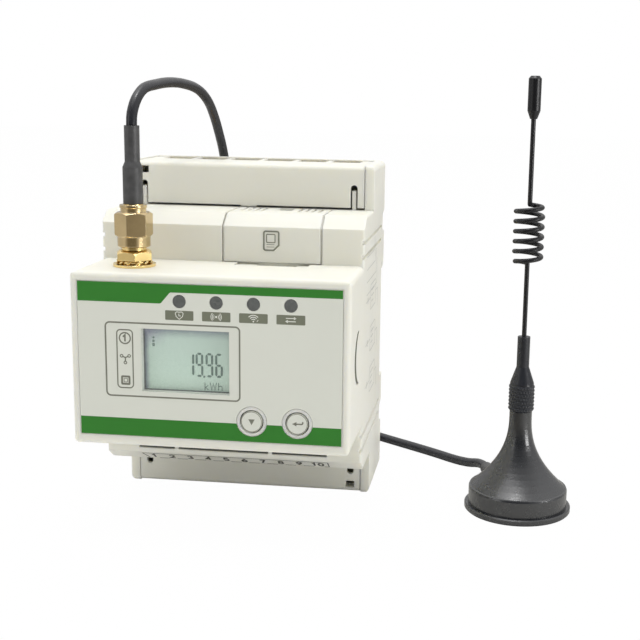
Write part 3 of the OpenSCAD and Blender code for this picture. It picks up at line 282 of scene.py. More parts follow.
look("whip_grey", (35, 37, 43), 0.3, blotch=0.1, blotch_scale=300.0, grain=0.3, edge=0.00012,
     edge_colour=srgb(84, 86, 94))
look("whip_black", (13, 14, 20), 0.34, blotch=0.14, blotch_scale=200.0, grain=0.3,
     grain_scale=1600.0, edge=0.0002, edge_colour=srgb(84, 85, 88))


def glass_material():
    """The display window: nearly clear, with a glossy face and faint fingermarks."""
    m, g = new_material("lcd_glass")
    smear = g.spread(g.noise(120.0, 3.0), 0.02, 0.12, 0.35, 0.75)
    g.output(g.add("ShaderNodeBsdfPrincipled", {
        "Base Color": (0.85, 0.92, 0.88, 1), "Roughness": smear, "Alpha": 0.10,
        "Specular IOR Level": 0.5}))
    return m


MAT["lcd_glass"] = glass_material()


def lcd_material(centre, half):
    """Reflective display: grey-green, with painted shade that makes it darker and bluer towards
    its left and top edges.
    """
    m, g = new_material("lcd")
    where = g.coords()
    parts = g.add("ShaderNodeSeparateXYZ", {0: where}).outputs
    wobble = g.spread(g.noise(500.0, 2.0, where), -0.0003, 0.0003)
    left = g.maths("ADD", g.maths("SUBTRACT", parts[0], centre.x - half[0]), wobble)
    top = g.maths("ADD", g.maths("SUBTRACT", centre.z + half[1], parts[2]), wobble)
    right = g.maths("SUBTRACT", centre.x + half[0], parts[0])

    def near(edge, reach, most=1.0):
        """The most at the edge, falling to nothing at the reach from it."""
        return g.spread(edge, most, 0.0, 0.0, reach)

    # Painted shade: darker towards the left and top edges, where the window's edge shades them,
    # and a little at the right.
    shade = g.maths("MAXIMUM", g.maths("MAXIMUM", near(left, 0.0014), near(top, 0.0030)),
                    near(right, 0.0009, 0.45))
    down = g.spread(parts[2], 0.0, 1.0, centre.z - half[1], centre.z + half[1])
    body = g.mix(down, srgb(210, 233, 217), srgb(198, 218, 209))
    speck = g.mix(g.spread(g.noise(2600.0, 1.0, where), 0.0, 0.6, *PATCHES), body,
                  srgb(188, 214, 199))
    # Painted shade: a bluer tint in the upper left corner.
    corner = g.maths("MULTIPLY", near(left, 0.0060), near(top, 0.0050), True)
    corner_shade_tint = g.mix(g.maths("MULTIPLY", corner, 1.6, True), speck, srgb(162, 162, 184))
    col = g.mix(g.maths("POWER", shade, 1.3), corner_shade_tint, srgb(84, 90, 120))
    # The faint emission is a painted glow: the display gives no light of its own.
    g.output(g.add("ShaderNodeBsdfPrincipled", {
        "Base Color": col, "Roughness": 0.3, "Emission Color": col, "Emission Strength": 0.08}))
    return m


# ---------------------------------------------------------------- CAD nodes

DRESS = {
    "front_housing": "housing", "rear_housing": "housing", "front_label": "panel",
    "lcd_window": "lcd_glass", "lcd_module": "part_black", "led_lenses": "lens",
    "button_down": "panel", "button_enter": "panel", "tact_switches": "part_black",
    "display_board": "board", "main_board": "board", "radio_module": "radio_board",
    "radio_shield": "shield", "sim_holder": "shield", "sim_card": "card",
    "sim_door": "housing", "power_supply": "part_black", "current_transformers": "winding",
    "upper_terminal_cover": "housing", "lower_terminal_cover": "housing",
    "upper_terminal_block": "dark_moulding", "lower_terminal_block": "dark_moulding",
    "upper_clamps": "clamp", "lower_clamps": "clamp", "upper_clamp_screws": "screw",
    "lower_clamp_screws": "screw", "signal_headers": "dark_moulding",
    "signal_plugs": "plug_grey", "signal_screws": "screw", "din_clip": "clip_black",
    "clip_spring": "spring", "antenna_jack": "gold", "flat_washer": "gold",
    "star_washer": "gold", "jack_nut": "gold", "plug_body": "gold", "coupling_nut": "nut_brass",
    "plug_boot": "boot", "cable_front": "cord", "cable_coil": "cord", "cable_rear": "cord",
    "cable_tie": "tie", "cable_relief": "boot", "antenna_shell": "antenna_black",
    "antenna_magnet": "magnet", "antenna_foot": "foot_pad", "antenna_stud": "screw",
    "whip_collar": "whip_grey", "whip_ferrule": "whip_grey", "whip_wire": "whip_black",
    "whip_tip": "whip_black",
}
for name, obj in node.items():
    obj.data.materials.clear()
    obj.data.materials.append(MAT[DRESS[name]])

# ---------------------------------------------------------------- mesh helpers


def link(name, data, mat, body):
    """Puts a piece into the scene, on its body and in its slot."""
    obj = bpy.data.objects.new(name, data)
    scene.collection.objects.link(obj)
    obj.data.materials.append(MAT[mat] if isinstance(mat, str) else mat)
    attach(obj, body)
    return obj


def loft(bm, rings, closed=False):
    """Faces from ring to ring, with both ends capped or the last ring joined to the first."""
    for a, b in zip(rings, rings[1:] + (rings[:1] if closed else [])):
        for k in range(len(a)):
            n = (k + 1) % len(a)
            bm.faces.new((a[k], a[n], b[n], b[k]))
    if not closed:
        bm.faces.new(list(reversed(rings[0])))
        bm.faces.new(rings[-1])


def mesh_of(name, bm, sharp=None):
    """The finished mesh; with an angle, it is smooth but for edges sharper than that."""
    bmesh.ops.recalc_face_normals(bm, faces=bm.faces)
    mesh = bpy.data.meshes.new(name)
    bm.to_mesh(mesh)
    bm.free()
    if sharp:
        mesh.shade_smooth()
        mesh.set_sharp_from_angle(angle=math.radians(sharp))
    return mesh


def spline_through(points, steps):
    """Points on a Catmull-Rom curve through the given ones."""
    out = []
    last = len(points) - 1
    for i in range(last):
        p0, p1 = points[max(i - 1, 0)], points[i]
        p2, p3 = points[i + 1], points[min(i + 2, last)]
        for k in range(steps):
            t = k / steps
            out.append(0.5 * ((2 * p1) + (p2 - p0) * t + (2 * p0 - 5 * p1 + 4 * p2 - p3) * t ** 2
                              + (3 * p1 - p0 - 3 * p2 + p3) * t ** 3))
    out.append(points[last].copy())
    return out


def tube_mesh(name, points, radius, sides):
    """A round tube along the points, carried without twist."""
    bm = bmesh.new()
    last = len(points) - 1
    side = Vector((1, 0, 0))
    rings = []
    for i, p in enumerate(points):
        ahead = (points[min(i + 1, last)] - points[max(i - 1, 0)]).normalized()
        side = (side - side.dot(ahead) * ahead).normalized()
        other = ahead.cross(side)
        rings.append([bm.verts.new(p + radius * (math.cos(a) * side + math.sin(a) * other))
                      for a in (2 * math.pi * k / sides for k in range(sides))])
    loft(bm, rings)
    return mesh_of(name, bm, 35)


# ---------------------------------------------------------------- printing

# Thickness of a layer of ink, and the gap that keeps it off the face below.
FILM = 0.02
OFF = 0.004
# Faces that are printed, as in part.scad: the keys stand proud of the label, the door's face and
# the lower bevel's front edge lie at the back of the nose, and the display lies behind its window.
KEY_PROUD = 0.25
NOSE_D = 24.7
LCD_Y = 2.95
BEVEL_D, BEVEL_H, BEVEL_LONG = 4.4, 3.15, 5.411
BEVEL_Z = -32.25


def on_label(x, z, lift):
    return at(x, -lift, z)


def on_keys(x, z, lift):
    return at(x, -KEY_PROUD - lift, z)


def on_door(x, z, lift):
    return at(x, NOSE_D - lift, z)


def on_bevel(x, v, lift):
    """The lower shoulder's bevel; v runs up it from its rear edge."""
    c, s = BEVEL_D / BEVEL_LONG, BEVEL_H / BEVEL_LONG
    back = BEVEL_LONG - v
    return at(x, NOSE_D + back * c - lift * s, BEVEL_Z - back * s - lift * c)


def on_display(x, z, lift):
    return at(x, LCD_Y - lift, z)


def on_flank(y, z, lift):
    return at(HALF_W + lift, y, z)


def arc(x, z, rx, rz, start, end, count=14):
    """Points round an ellipse, from one angle in degrees to another."""
    turns = [math.radians(start + (end - start) * i / count) for i in range(count + 1)]
    return [(x + rx * math.cos(a), z + rz * math.sin(a)) for a in turns]


def circle(x, z, r, count):
    return arc(x, z, r, r, 0, 360, count)


def soft_box(x0, z0, x1, z1, r):
    """A rectangle's outline with rounded corners."""
    return (arc(x1 - r, z1 - r, r, r, 0, 90, 6) + arc(x0 + r, z1 - r, r, r, 90, 180, 6)
            + arc(x0 + r, z0 + r, r, r, 180, 270, 6) + arc(x1 - r, z0 + r, r, r, 270, 360, 6))


# Keeps a mitre from reaching far out at a sharp corner.
LEAST_LEAN = 0.4


class Ink:
    """Printing: outlines and strokes in millimetres, laid on a face as a thin film."""

    def __init__(self, place, layer=0):
        self.place = place
        self.low = OFF + FILM * layer
        self.high = FILM * (layer + 1)
        self.bm = bmesh.new()

    def fill(self, outline):
        new = self.bm.verts.new
        top = [new(self.place(x, z, self.high)) for x, z in outline]
        low = [new(self.place(x, z, self.low)) for x, z in outline]
        self.bm.faces.new(top)
        self.bm.faces.new(list(reversed(low)))
        for i in range(len(top)):
            k = (i + 1) % len(top)
            self.bm.faces.new((top[i], low[i], low[k], top[k]))

    def dot(self, x, z, r):
        sides = 24
        self.fill(arc(x, z, r, r, 0, 360 - 360 / sides, sides - 1))

    def line(self, points, width, closed=False):
        """A stroke with mitred corners."""
        pts = [Vector(p) for p in points]
        if closed and (pts[0] - pts[-1]).length < 1e-6:
            pts.pop()
        count = len(pts)
        ways = []
        for i in range(count if closed else count - 1):
            ways.append((pts[(i + 1) % count] - pts[i]).normalized())
        sides = []
        for i in range(count):
            if closed:
                a, b = ways[i - 1], ways[i]
            else:
                a, b = ways[max(i - 1, 0)], ways[min(i, count - 2)]
            mid = Vector((-a.y - b.y, a.x + b.x))
            mid = mid.normalized() if mid.length > 1e-6 else Vector((-b.y, b.x))
            lean = max(LEAST_LEAN, mid.dot(Vector((-b.y, b.x))))
            sides.append(mid * width / 2 / lean)
        rings = []
        for p, n in zip(pts, sides):
            rings.append([self.bm.verts.new(self.place(*q, height))
                          for q, height in ((p + n, self.high), (p - n, self.high),
                                            (p - n, self.low), (p + n, self.low))])
        loft(self.bm, rings, closed)

    def done(self, name, mat, body="base"):
        link(name, mesh_of(name, self.bm), mat, body)


# Strokes of the numbers, in a cell 0.6 wide and 1 high: (points, closed).
NUMBERS = {
    "0": [(arc(0.3, 0.5, 0.26, 0.47, 0, 360, 20), True)],
    "1": [([(0.12, 0.76), (0.34, 0.96), (0.34, 0.0)], False)],
    "2": [(arc(0.3, 0.7, 0.25, 0.26, 165, -25, 12) + [(0.04, 0.04), (0.58, 0.04)], False)],
    "3": [(arc(0.28, 0.74, 0.22, 0.22, 155, -90, 12), False),
          (arc(0.28, 0.28, 0.27, 0.24, 90, -155, 12), False)],
    "4": [([(0.44, 0.0), (0.44, 0.96), (0.03, 0.3), (0.6, 0.3)], False)],
    "5": [([(0.54, 0.95), (0.14, 0.95), (0.1, 0.54)] + arc(0.29, 0.32, 0.26, 0.28, 120, -150, 12),
           False)],
    "6": [(arc(0.3, 0.3, 0.25, 0.27, 0, 360, 16), True),
          ([(0.05, 0.36), (0.14, 0.62), (0.44, 0.96)], False)],
    "7": [([(0.03, 0.95), (0.57, 0.95), (0.22, 0.0)], False)],
    "8": [(arc(0.3, 0.75, 0.2, 0.21, 0, 360, 16), True),
          (arc(0.3, 0.28, 0.25, 0.25, 0, 360, 16), True)],
    "9": [(arc(0.3, 0.7, 0.25, 0.27, 0, 360, 16), True),
          ([(0.55, 0.64), (0.46, 0.38), (0.16, 0.04)], False)],
}
CELL_HALF = 0.3
CELL_STEP = 0.78


def write_number(ink, text, x, z, high, width):
    """A number centred on x, standing on z."""
    step = high * CELL_STEP
    left = x - (len(text) - 1) * step / 2 - high * CELL_HALF
    for i, mark in enumerate(text):
        for points, closed in NUMBERS[mark]:
            ink.line([(left + i * step + px * high, z + pz * high) for px, pz in points],
                     width, closed)


# Middles of the status lights and of the keys.
LED_X = [-7.5 + 9.47 * i for i in range(4)]
KEY_X = [10.95, 22.65]
KEY_Z = -14.4


def print_bands():
    """The two green bands; the lower one leaves room round the buttons."""
    ink = Ink(on_label)
    edge = 33.9
    wide, narrow, top = 15.1, 18.02, 20.15
    outline = [(-edge, wide), (-12.7, wide)]
    outline += arc(-12.7, 16.0, 0.9, 0.9, -90, -28, 5)
    outline += arc(-9.5, 17.3, 0.72, 0.72, 150, 90, 5)
    outline += [(edge, narrow), (edge, top), (-edge, top)]
    ink.fill(outline)
    low, high, room = -19.75, -15.1, 3.95
    outline = [(-edge, low), (edge, low), (edge, high)]
    reach = math.degrees(math.asin((high - KEY_Z) / room))
    for x in reversed(KEY_X):
        outline += arc(x, KEY_Z, room, room, reach, -180 - reach, 28)
    outline += [(-edge, high)]
    ink.fill(outline)
    ink.done("bands", "ink_green")


def print_frames():
    """Thin frame round the display and the pictograms beside it."""
    ink = Ink(on_label)
    ink.line(soft_box(-26.8, -9.25, 7.9, 9.85, 1.1), 0.4, True)
    ink.line(soft_box(-23.85, -7.1, -19.75, 8.0, 0.95), 0.32, True)
    ink.line(circle(-21.75, 5.84, 1.42, 32), 0.34, True)
    ink.line([(-22.25, 6.15), (-21.72, 6.66), (-21.72, 4.98)], 0.42)
    hub = (-21.72, 0.78)
    for spot in ((-22.7, 1.2), (-20.72, 1.25), (-21.75, -0.52)):
        ink.line(circle(*spot, 0.34, 18), 0.26, True)
        way = (Vector(hub) - Vector(spot)).normalized()
        ink.line([Vector(spot) + way * 0.36, hub], 0.3)
    ink.line(soft_box(-22.72, -6.1, -20.78, -4.16, 0.12), 0.5, True)
    ink.line(soft_box(-22.2, -5.6, -21.3, -4.66, 0.08), 0.16, True)
    ink.done("frames", "line_ink_and_shadow")


def print_captions():
    """Caption boxes under the status lights, with plain signs for what each light shows."""
    ink = Ink(on_label)
    aside, low, high = 3.63, 11.02, 13.47
    for x in LED_X:
        ink.fill(soft_box(x - aside, low, x + aside, high, 0.22))
    ink.done("captions", "ink_grey")
    ink = Ink(on_label, 1)
    z = 12.25
    # A shield with a clock's hands.
    x = LED_X[0]
    ink.line([(x, z - 0.98), (x - 0.78, z - 0.3), (x - 0.98, z + 0.3)]
             + arc(x - 0.5, z + 0.42, 0.5, 0.5, 170, 60, 6)
             + arc(x + 0.5, z + 0.42, 0.5, 0.5, 120, 10, 6)
             + [(x + 0.98, z + 0.3), (x + 0.78, z - 0.3)], 0.17, True)
    ink.line([(x - 0.1, z + 0.5), (x - 0.1, z - 0.1), (x + 0.4, z - 0.1)], 0.17)
    # Waves to both sides of a dot.
    x = LED_X[1]
    ink.dot(x, z, 0.26)
    for r, half in ((0.62, 42), (1.0, 46), (1.36, 46)):
        for side in (0, 180):
            ink.line(arc(x, z, r, r * 0.95, side - half, side + half, 10), 0.15)
    # Waves above a dot.
    x = LED_X[2]
    ink.dot(x, z - 0.78, 0.2)
    for r in (0.62, 1.12, 1.62):
        ink.line(arc(x, z - 0.78, r, r, 42, 138, 10), 0.2)
    ink.line([(x + 0.85, z - 0.8), (x + 1.25, z - 0.35)], 0.15)
    # Arrows to and fro.
    x = LED_X[3]
    for side in (-1, 1):
        level, tip, barb = z + side * 0.4, x + side * 1.25, x + side * 0.75
        ink.line([(x - 1.25, level), (x + 1.25, level)], 0.2)
        ink.line([(barb, level + 0.32), (tip, level), (barb, level - 0.32)], 0.2)
    ink.done("signs", "ink_light")


def print_keys():
    """A pointer or an arrow on each key, in a ring."""
    ring = 2.6
    ink = Ink(on_keys)
    x, z = KEY_X[0], KEY_Z
    ink.fill([(x - 0.82, z + 0.66), (x, z - 0.84), (x + 0.82, z + 0.66)])
    ink.line(circle(x, z, ring, 48), 0.16, True)
    ink.done("sign_down", "line_ink_and_shadow", "key_down")
    ink = Ink(on_keys)
    x = KEY_X[1] + 0.15
    ink.fill([(x - 1.45, z), (x - 0.3, z + 0.55), (x - 0.3, z - 0.55)])
    ink.line([(x - 0.45, z), (x + 1.05, z), (x + 1.3, z + 0.2), (x + 1.3, z + 0.66)], 0.34)
    ink.line(circle(KEY_X[1], z, ring, 48), 0.16, True)
    ink.done("sign_enter", "line_ink_and_shadow", "key_enter")


def print_door():
    """A card sign, to show what lies behind the door."""
    ink = Ink(on_door)
    x0, x1, z0, z1, cut, r = 8.75, 12.8, 26.0, 31.1, 1.4, 0.5
    ink.line(arc(x1 - r, z1 - r, r, r, 0, 90, 5) + arc(x0 + r, z1 - r, r, r, 90, 180, 5)
             + arc(x0 + r, z0 + r, r, r, 180, 270, 5) + [(x1 - cut, z0), (x1, z0 + cut)],
             0.42, True)
    ink.line(soft_box(x0 + 0.75, z1 - 3.0, x0 + 3.05, z1 - 0.8, 0.2), 0.26, True)
    for z in (z1 - 3.55, z1 - 4.2):
        ink.line([(x0 + 0.75, z), (x0 + 2.9, z)], 0.14)
    ink.done("card_sign", "line_ink_and_shadow", "door")


def print_numbers():
    """Terminal numbers along the lower bevel, in a ruled band."""
    ink = Ink(on_bevel)
    left, right, low, high = -26.4, 26.5, 0.35, 4.1
    rule, end = 0.22, 0.28
    places = [-23.4 + 5.2 * i for i in range(10)]
    for i, x in enumerate(places):
        write_number(ink, str(i + 1), x, 0.95, 2.5, 0.54)
    ink.line([(left, high), (right, high)], rule)
    for a, b in zip(places, places[1:]):
        ink.line([(a + 1.1, low), (b - 1.1, low)], rule)
    ink.line([(left, high), (-25.1, low)], end)
    ink.line([(right, high), (right, low), (25.2, low)], end)
    ink.done("numbers", "ink_dark")


def print_side():
    """Faint wiring sketch on the right side: lines, joins and boxes, without words."""
    ink = Ink(on_flank)
    thin = 0.22
    for i, z in enumerate((33.0, 29.5, 26.0, 22.5)):
        bend = 48.0 + 2.2 * i
        ink.line([(31.0, z - 9.0), (bend, z - 9.0), (bend, 30.0 - 3.0 * i)], thin)
    near, far = 40.0, 52.0
    for z in (16.0, 4.0, -8.0):
        wire = z - 4.5
        ink.line(soft_box(near, z - 8.0, far, z - 1.0, 0.5), 0.24, True)
        ink.line([(30.0, wire), (near, wire)], thin)
        ink.line([(far, wire), (57.0, wire), (57.0, z - 10.0)], thin)
        ink.line(circle(34.0, wire, 0.8, 16), thin, True)
        for k in range(3):
            row = z - 2.8 - 1.6 * k
            ink.line([(42.0, row), (49.0 - 1.5 * k, row)], 0.3)
    ink.done("side_sketch", "ink_faint")


def paint_grip_shadows():
    """A painted shadow: a dark line along the outer lip of each thumb crescent's rear wall, where
    the crescent's shade falls.
    """
    bm = bmesh.new()
    r, middle, steps = 7.15, 17.4, 32
    x0, x1, off0, off1 = 35.35, 36.06, 0.02, 0.2
    for side in (-1, 1):
        rings = []
        for i in range(steps + 1):
            a = math.radians(106 + 148 * i / steps)
            rings.append([bm.verts.new(at(side * x, middle + (r + off) * math.cos(a),
                                          (r + off) * math.sin(a)))
                          for x, off in ((x0, off0), (x1, off0), (x1, off1), (x0, off1))])
        loft(bm, rings)
    # The strips are a painted shadow, in the colour of the line ink.
    link("grip_shadow_lines", mesh_of("grip_shadow_lines", bm), "line_ink_and_shadow", "base")


paint_grip_shadows()
print_side()
print_bands()
print_frames()
print_captions()
print_keys()
print_door()
print_numbers()

# ---------------------------------------------------------------- the display

LCD_X, LCD_Z, LCD_W, LCD_H = -6.2, 0.3, 22.6, 16.2
LCD_MARGIN = 0.02
# Marks lie above the display's own film.
MARKS = 3
# Lit bars of each figure, as in a seven-bar display, and where the reading's figures start.
BARS = {"1": "bc", "9": "abcdfg", "6": "acdefg"}
READING = (("1", -6.6), ("9", -4.25), ("9", -1.65), ("6", 0.85))


def make_display():
    """The display behind its window, with a reading and its unit."""
    x0, x1 = LCD_X - LCD_W / 2 + LCD_MARGIN, LCD_X + LCD_W / 2 - LCD_MARGIN
    low, top = LCD_Z - LCD_H / 2 + LCD_MARGIN, LCD_Z + LCD_H / 2 - LCD_MARGIN
    ink = Ink(on_display)
    ink.fill([(x0, low), (x1, low), (x1, top), (x0, top)])
    ink.done("display", lcd_material(at(LCD_X, LCD_Y, LCD_Z), (LCD_W / 2000, LCD_H / 2000)))

    ink = Ink(on_display, MARKS)
    high, wide, thick, gap = 6.35, 2.0, 0.58, 0.1
    z0 = -4.15

    def bar(a, b):
        a, b = Vector(a), Vector(b)
        way = (b - a).normalized()
        side = Vector((-way.y, way.x)) * thick / 2
        a, b = a + way * gap, b - way * gap
        tip = way * thick / 2
        ink.fill([a, a + tip + side, b - tip + side, b, b - tip - side, a + tip - side])

    for figure, x in READING:
        l, r = x + thick / 2, x + wide - thick / 2
        b, m, t = z0 + thick / 2, z0 + high / 2, z0 + high - thick / 2
        ends = {"a": ((l, t), (r, t)), "b": ((r, t), (r, m)), "c": ((r, m), (r, b)),
                "d": ((l, b), (r, b)), "e": ((l, m), (l, b)), "f": ((l, t), (l, m)),
                "g": ((l, m), (r, m))}
        for name in BARS[figure]:
            bar(*ends[name])
    ink.fill([(-2.28, z0 + 0.4), (-1.76, z0 + 0.4), (-1.76, z0 - 0.12), (-2.28, z0 - 0.12)])
    ink.done("figures", "lcd_dark")

    # The unit, letter by letter, and a small mark at the upper left.
    ink = Ink(on_display, MARKS)
    x, z, h = -1.85, -7.45, 1.95
    stem, stroke = 0.22, 0.2
    ink.line([(x, z + h), (x, z)], stem)
    ink.line([(x + 0.85, z + h * 0.62), (x + 0.15, z + h * 0.32), (x + 0.9, z)], stroke)
    x += 1.35
    ink.line([(x, z + h), (x + 0.42, z), (x + 0.84, z + h * 0.9), (x + 1.26, z),
              (x + 1.68, z + h)], stroke)
    x += 2.2
    ink.line([(x, z + h), (x, z)], stem)
    ink.line([(x + 0.1, z + h * 0.5)] + arc(x + 0.5, z + h * 0.36, 0.42, 0.42, 140, 0, 8)
             + [(x + 0.92, z)], stroke)
    x, z = -15.2, 5.8
    ink.dot(x, z - 0.1, 0.3)
    ink.fill(soft_box(x - 0.3, z - 1.3, x + 0.3, z - 0.7, 0.1))
    ink.fill(soft_box(x - 0.34, z - 2.4, x + 0.34, z - 1.55, 0.1))
    ink.done("units", "lcd_pale")


make_display()

# ---------------------------------------------------------------- the antenna lead

# The route of part.scad, in metres, with its three tightest bends eased by under 1 mm.
FRONT_ROUTE = [
    (-0.023, -0.0457, 0.1067), (-0.023, -0.0451, 0.1098), (-0.0226, -0.0427, 0.1134),
    (-0.022, -0.038, 0.1161), (-0.0212, -0.031, 0.1171), (-0.0204, -0.024, 0.1177),
    (-0.0196, -0.017, 0.1178), (-0.0189, -0.010, 0.1174), (-0.0183, -0.003, 0.1166),
    (-0.0176, 0.003, 0.1149), (-0.017, 0.0085, 0.1119), (-0.0165, 0.0128, 0.1076),
    (-0.0161, 0.0164, 0.1028), (-0.0158, 0.0196, 0.098), (-0.0156, 0.0224, 0.092),
    (-0.0156, 0.0244, 0.085), (-0.0158, 0.0256, 0.078), (-0.0162, 0.0262, 0.071),
    (-0.0167, 0.0264, 0.064), (-0.0173, 0.0264, 0.057), (-0.0179, 0.0262, 0.050),
    (-0.0186, 0.026, 0.043), (-0.0194, 0.0258, 0.036), (-0.0203, 0.0257, 0.029),
    (-0.0208, 0.0255, 0.0226), (-0.0219, 0.0274, 0.0173), (-0.0235, 0.0309, 0.0136)]
REAR_ROUTE = [
    (0.0116, 0.0545, 0.0016), (0.018, 0.0496, 0.0014), (0.024, 0.0449, 0.0014),
    (0.030, 0.0405, 0.0014), (0.036, 0.036, 0.0014), (0.042, 0.0316, 0.0014),
    (0.048, 0.0272, 0.0014), (0.054, 0.0226, 0.0014), (0.060, 0.0178, 0.0014),
    (0.0642, 0.0145, 0.0018), (0.0672, 0.0114, 0.0028)]
CORD_D = 0.0028
# The stowed coil, in layers on the floor behind the meter.
STOW_XY = (-0.006, 0.0428)
STOW_START = 200  # angle at which the lead enters it
STOW_TURNS = 12.408
STOW_LAYERS = 4
STOW_STEP = 0.00325  # from one turn to the next
STOW_R = 0.0205  # outermost turn
STOW_LIFT = 0.0006  # thickness of the tie under it
STOW_HALF = STOW_TURNS / STOW_LAYERS


def stow_point(u):
    """The stowed coil: in and out again, layer by layer from the top."""
    k = math.floor(u / STOW_HALF)
    f = u - k * STOW_HALF
    fold = f if k % 2 == 0 else STOW_HALF - f
    near = round(u / STOW_HALF)
    f = u - near * STOW_HALF
    if near < 1:
        drop = 0
    elif near > STOW_LAYERS - 1:
        drop = STOW_LAYERS - 1
    else:
        drop = near - 1 + min(1, max(0, 2 * f + 0.5))
    a = math.radians(STOW_START - 360 * u)
    r = STOW_R - STOW_STEP * fold
    z = STOW_LIFT + CORD_D / 2 + STOW_STEP * (STOW_LAYERS - 1 - drop)
    return Vector((STOW_XY[0] + r * math.cos(a), STOW_XY[1] + r * math.sin(a), z))


ANTENNA_XY = (0.0792, -0.0182)
# The relief on the antenna's drum, from which the lead leaves.
DRUM_R = 0.0139
RELIEF_LONG = 0.012
RELIEF_Z = 0.0032
RELIEF_ANGLE = math.radians(111)
RELIEF_WAY = Vector((math.cos(RELIEF_ANGLE), math.sin(RELIEF_ANGLE), 0))
RELIEF_END = Vector((*ANTENNA_XY, RELIEF_Z)) + RELIEF_WAY * (DRUM_R + RELIEF_LONG)


def make_cord(tie):
    """The lead in one piece, over the meter, through the coil and on to the antenna."""
    steps = 24
    turns = [stow_point(min(i / steps, STOW_TURNS)) for i in range(round(STOW_TURNS * steps) + 1)]
    points = ([Vector(p) for p in FRONT_ROUTE] + turns
              + [Vector(p) for p in REAR_ROUTE] + [RELIEF_END + RELIEF_WAY * CORD_D, RELIEF_END])
    fine = spline_through(points, 3)
    mesh = tube_mesh("lead", fine, CORD_D / 2, 14)
    lead = link("lead", mesh, "cord", "base")
    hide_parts("cable_front", "cable_coil", "cable_rear")

# ---------------------------------------------------------------- whip, spring and tie


def make_whip_wire():
    """The whip's wire with its loading coil, on the CAD wire's own line, in millimetres."""
    r, pitch, turns, ease = 3.65, 2.75, 6, 0.33
    z0, thick, low, high = 70.5, 1.3, 41.5, 112.0
    count = 40
    centre = Vector((*ANTENNA_XY, 0)) * 1000
    pts = [Vector((0, 0, low)), Vector((0, 0, (low + z0) / 2)), Vector((0, 0, z0 - thick))]
    for i in range(1, turns * count):
        u = i / count
        k = min(u, turns - u) / ease
        rad = r if k >= 1 else r * k * k * (3 - 2 * k)
        a = math.radians(360 * u + 90)
        pts.append(Vector((rad * math.cos(a), rad * math.sin(a), z0 + pitch * u)))
    top = z0 + turns * pitch
    pts += [Vector((0, 0, top + thick)), Vector((0, 0, (top + high) / 2)), Vector((0, 0, high))]
    fine = [(centre + p) / 1000 for p in spline_through(pts, 2)]
    wire = link("whip_line", tube_mesh("whip_line", fine, thick / 2000, 14), "whip_black",
                "whip")
    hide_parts("whip_wire")


make_whip_wire()


def make_knurl():
    """Rows of points pressed into the rings of the whip's collar."""
    low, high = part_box("whip_collar")
    rings, steps, around, facets = 7, 8, 26, 6
    radius, rim, inside, point = (high.x - low.x) / 2, 0.0003, 0.00035, 0.00018
    # The points take the first steps of each ring, and the groove after them takes the rest.
    crest = 6
    groove = {crest: 0.00006, crest + 1: 0.00012}
    bm = bmesh.new()

    def row(z, cut, rise, shift):
        verts = []
        for k in range(facets * around):
            a = 2 * math.pi * k / (facets * around)
            r = radius - cut + rise * abs(math.sin(a * around / 2 + shift))
            verts.append(bm.verts.new((ANTENNA_XY[0] + r * math.cos(a),
                                       ANTENNA_XY[1] + r * math.sin(a), z)))
        return verts

    z0, z1 = low.z + rim, high.z - rim
    rows = [row(z0, inside, 0, 0)]
    for j in range(rings * steps):
        step = j % steps
        rise = point * math.sin(math.pi * min(1, step / crest))
        rows.append(row(z0 + (z1 - z0) * j / (rings * steps), groove.get(step, 0), rise,
                        math.pi / 2 * (j // steps)))
    rows += [row(z1, groove[crest + 1], 0, 0), row(z1, inside, 0, 0)]
    loft(bm, rows, closed=True)
    link("knurl_points", mesh_of("knurl_points", bm, 40), "whip_grey", "whip")


make_knurl()


def make_clip_spring():
    """The rail clip's spring, as one fixed helix in the CAD spring's place."""
    low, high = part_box("clip_spring")
    wire, turns, count = 0.0004, 7, 20
    middle = (low + high) / 2
    r = (high.x - low.x - wire) / 2
    z0, rise = low.z + wire / 2, high.z - low.z - wire
    pts = []
    for i in range(turns * count + 1):
        u = i / (turns * count)
        a = 2 * math.pi * i / count
        pts.append(Vector((middle.x + r * math.cos(a), middle.y + r * math.sin(a), z0 + rise * u)))
    spring = link("spring_line", tube_mesh("spring_line", pts, wire / 2, 10), "spring", "base")
    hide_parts("clip_spring")
    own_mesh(spring)


make_clip_spring()


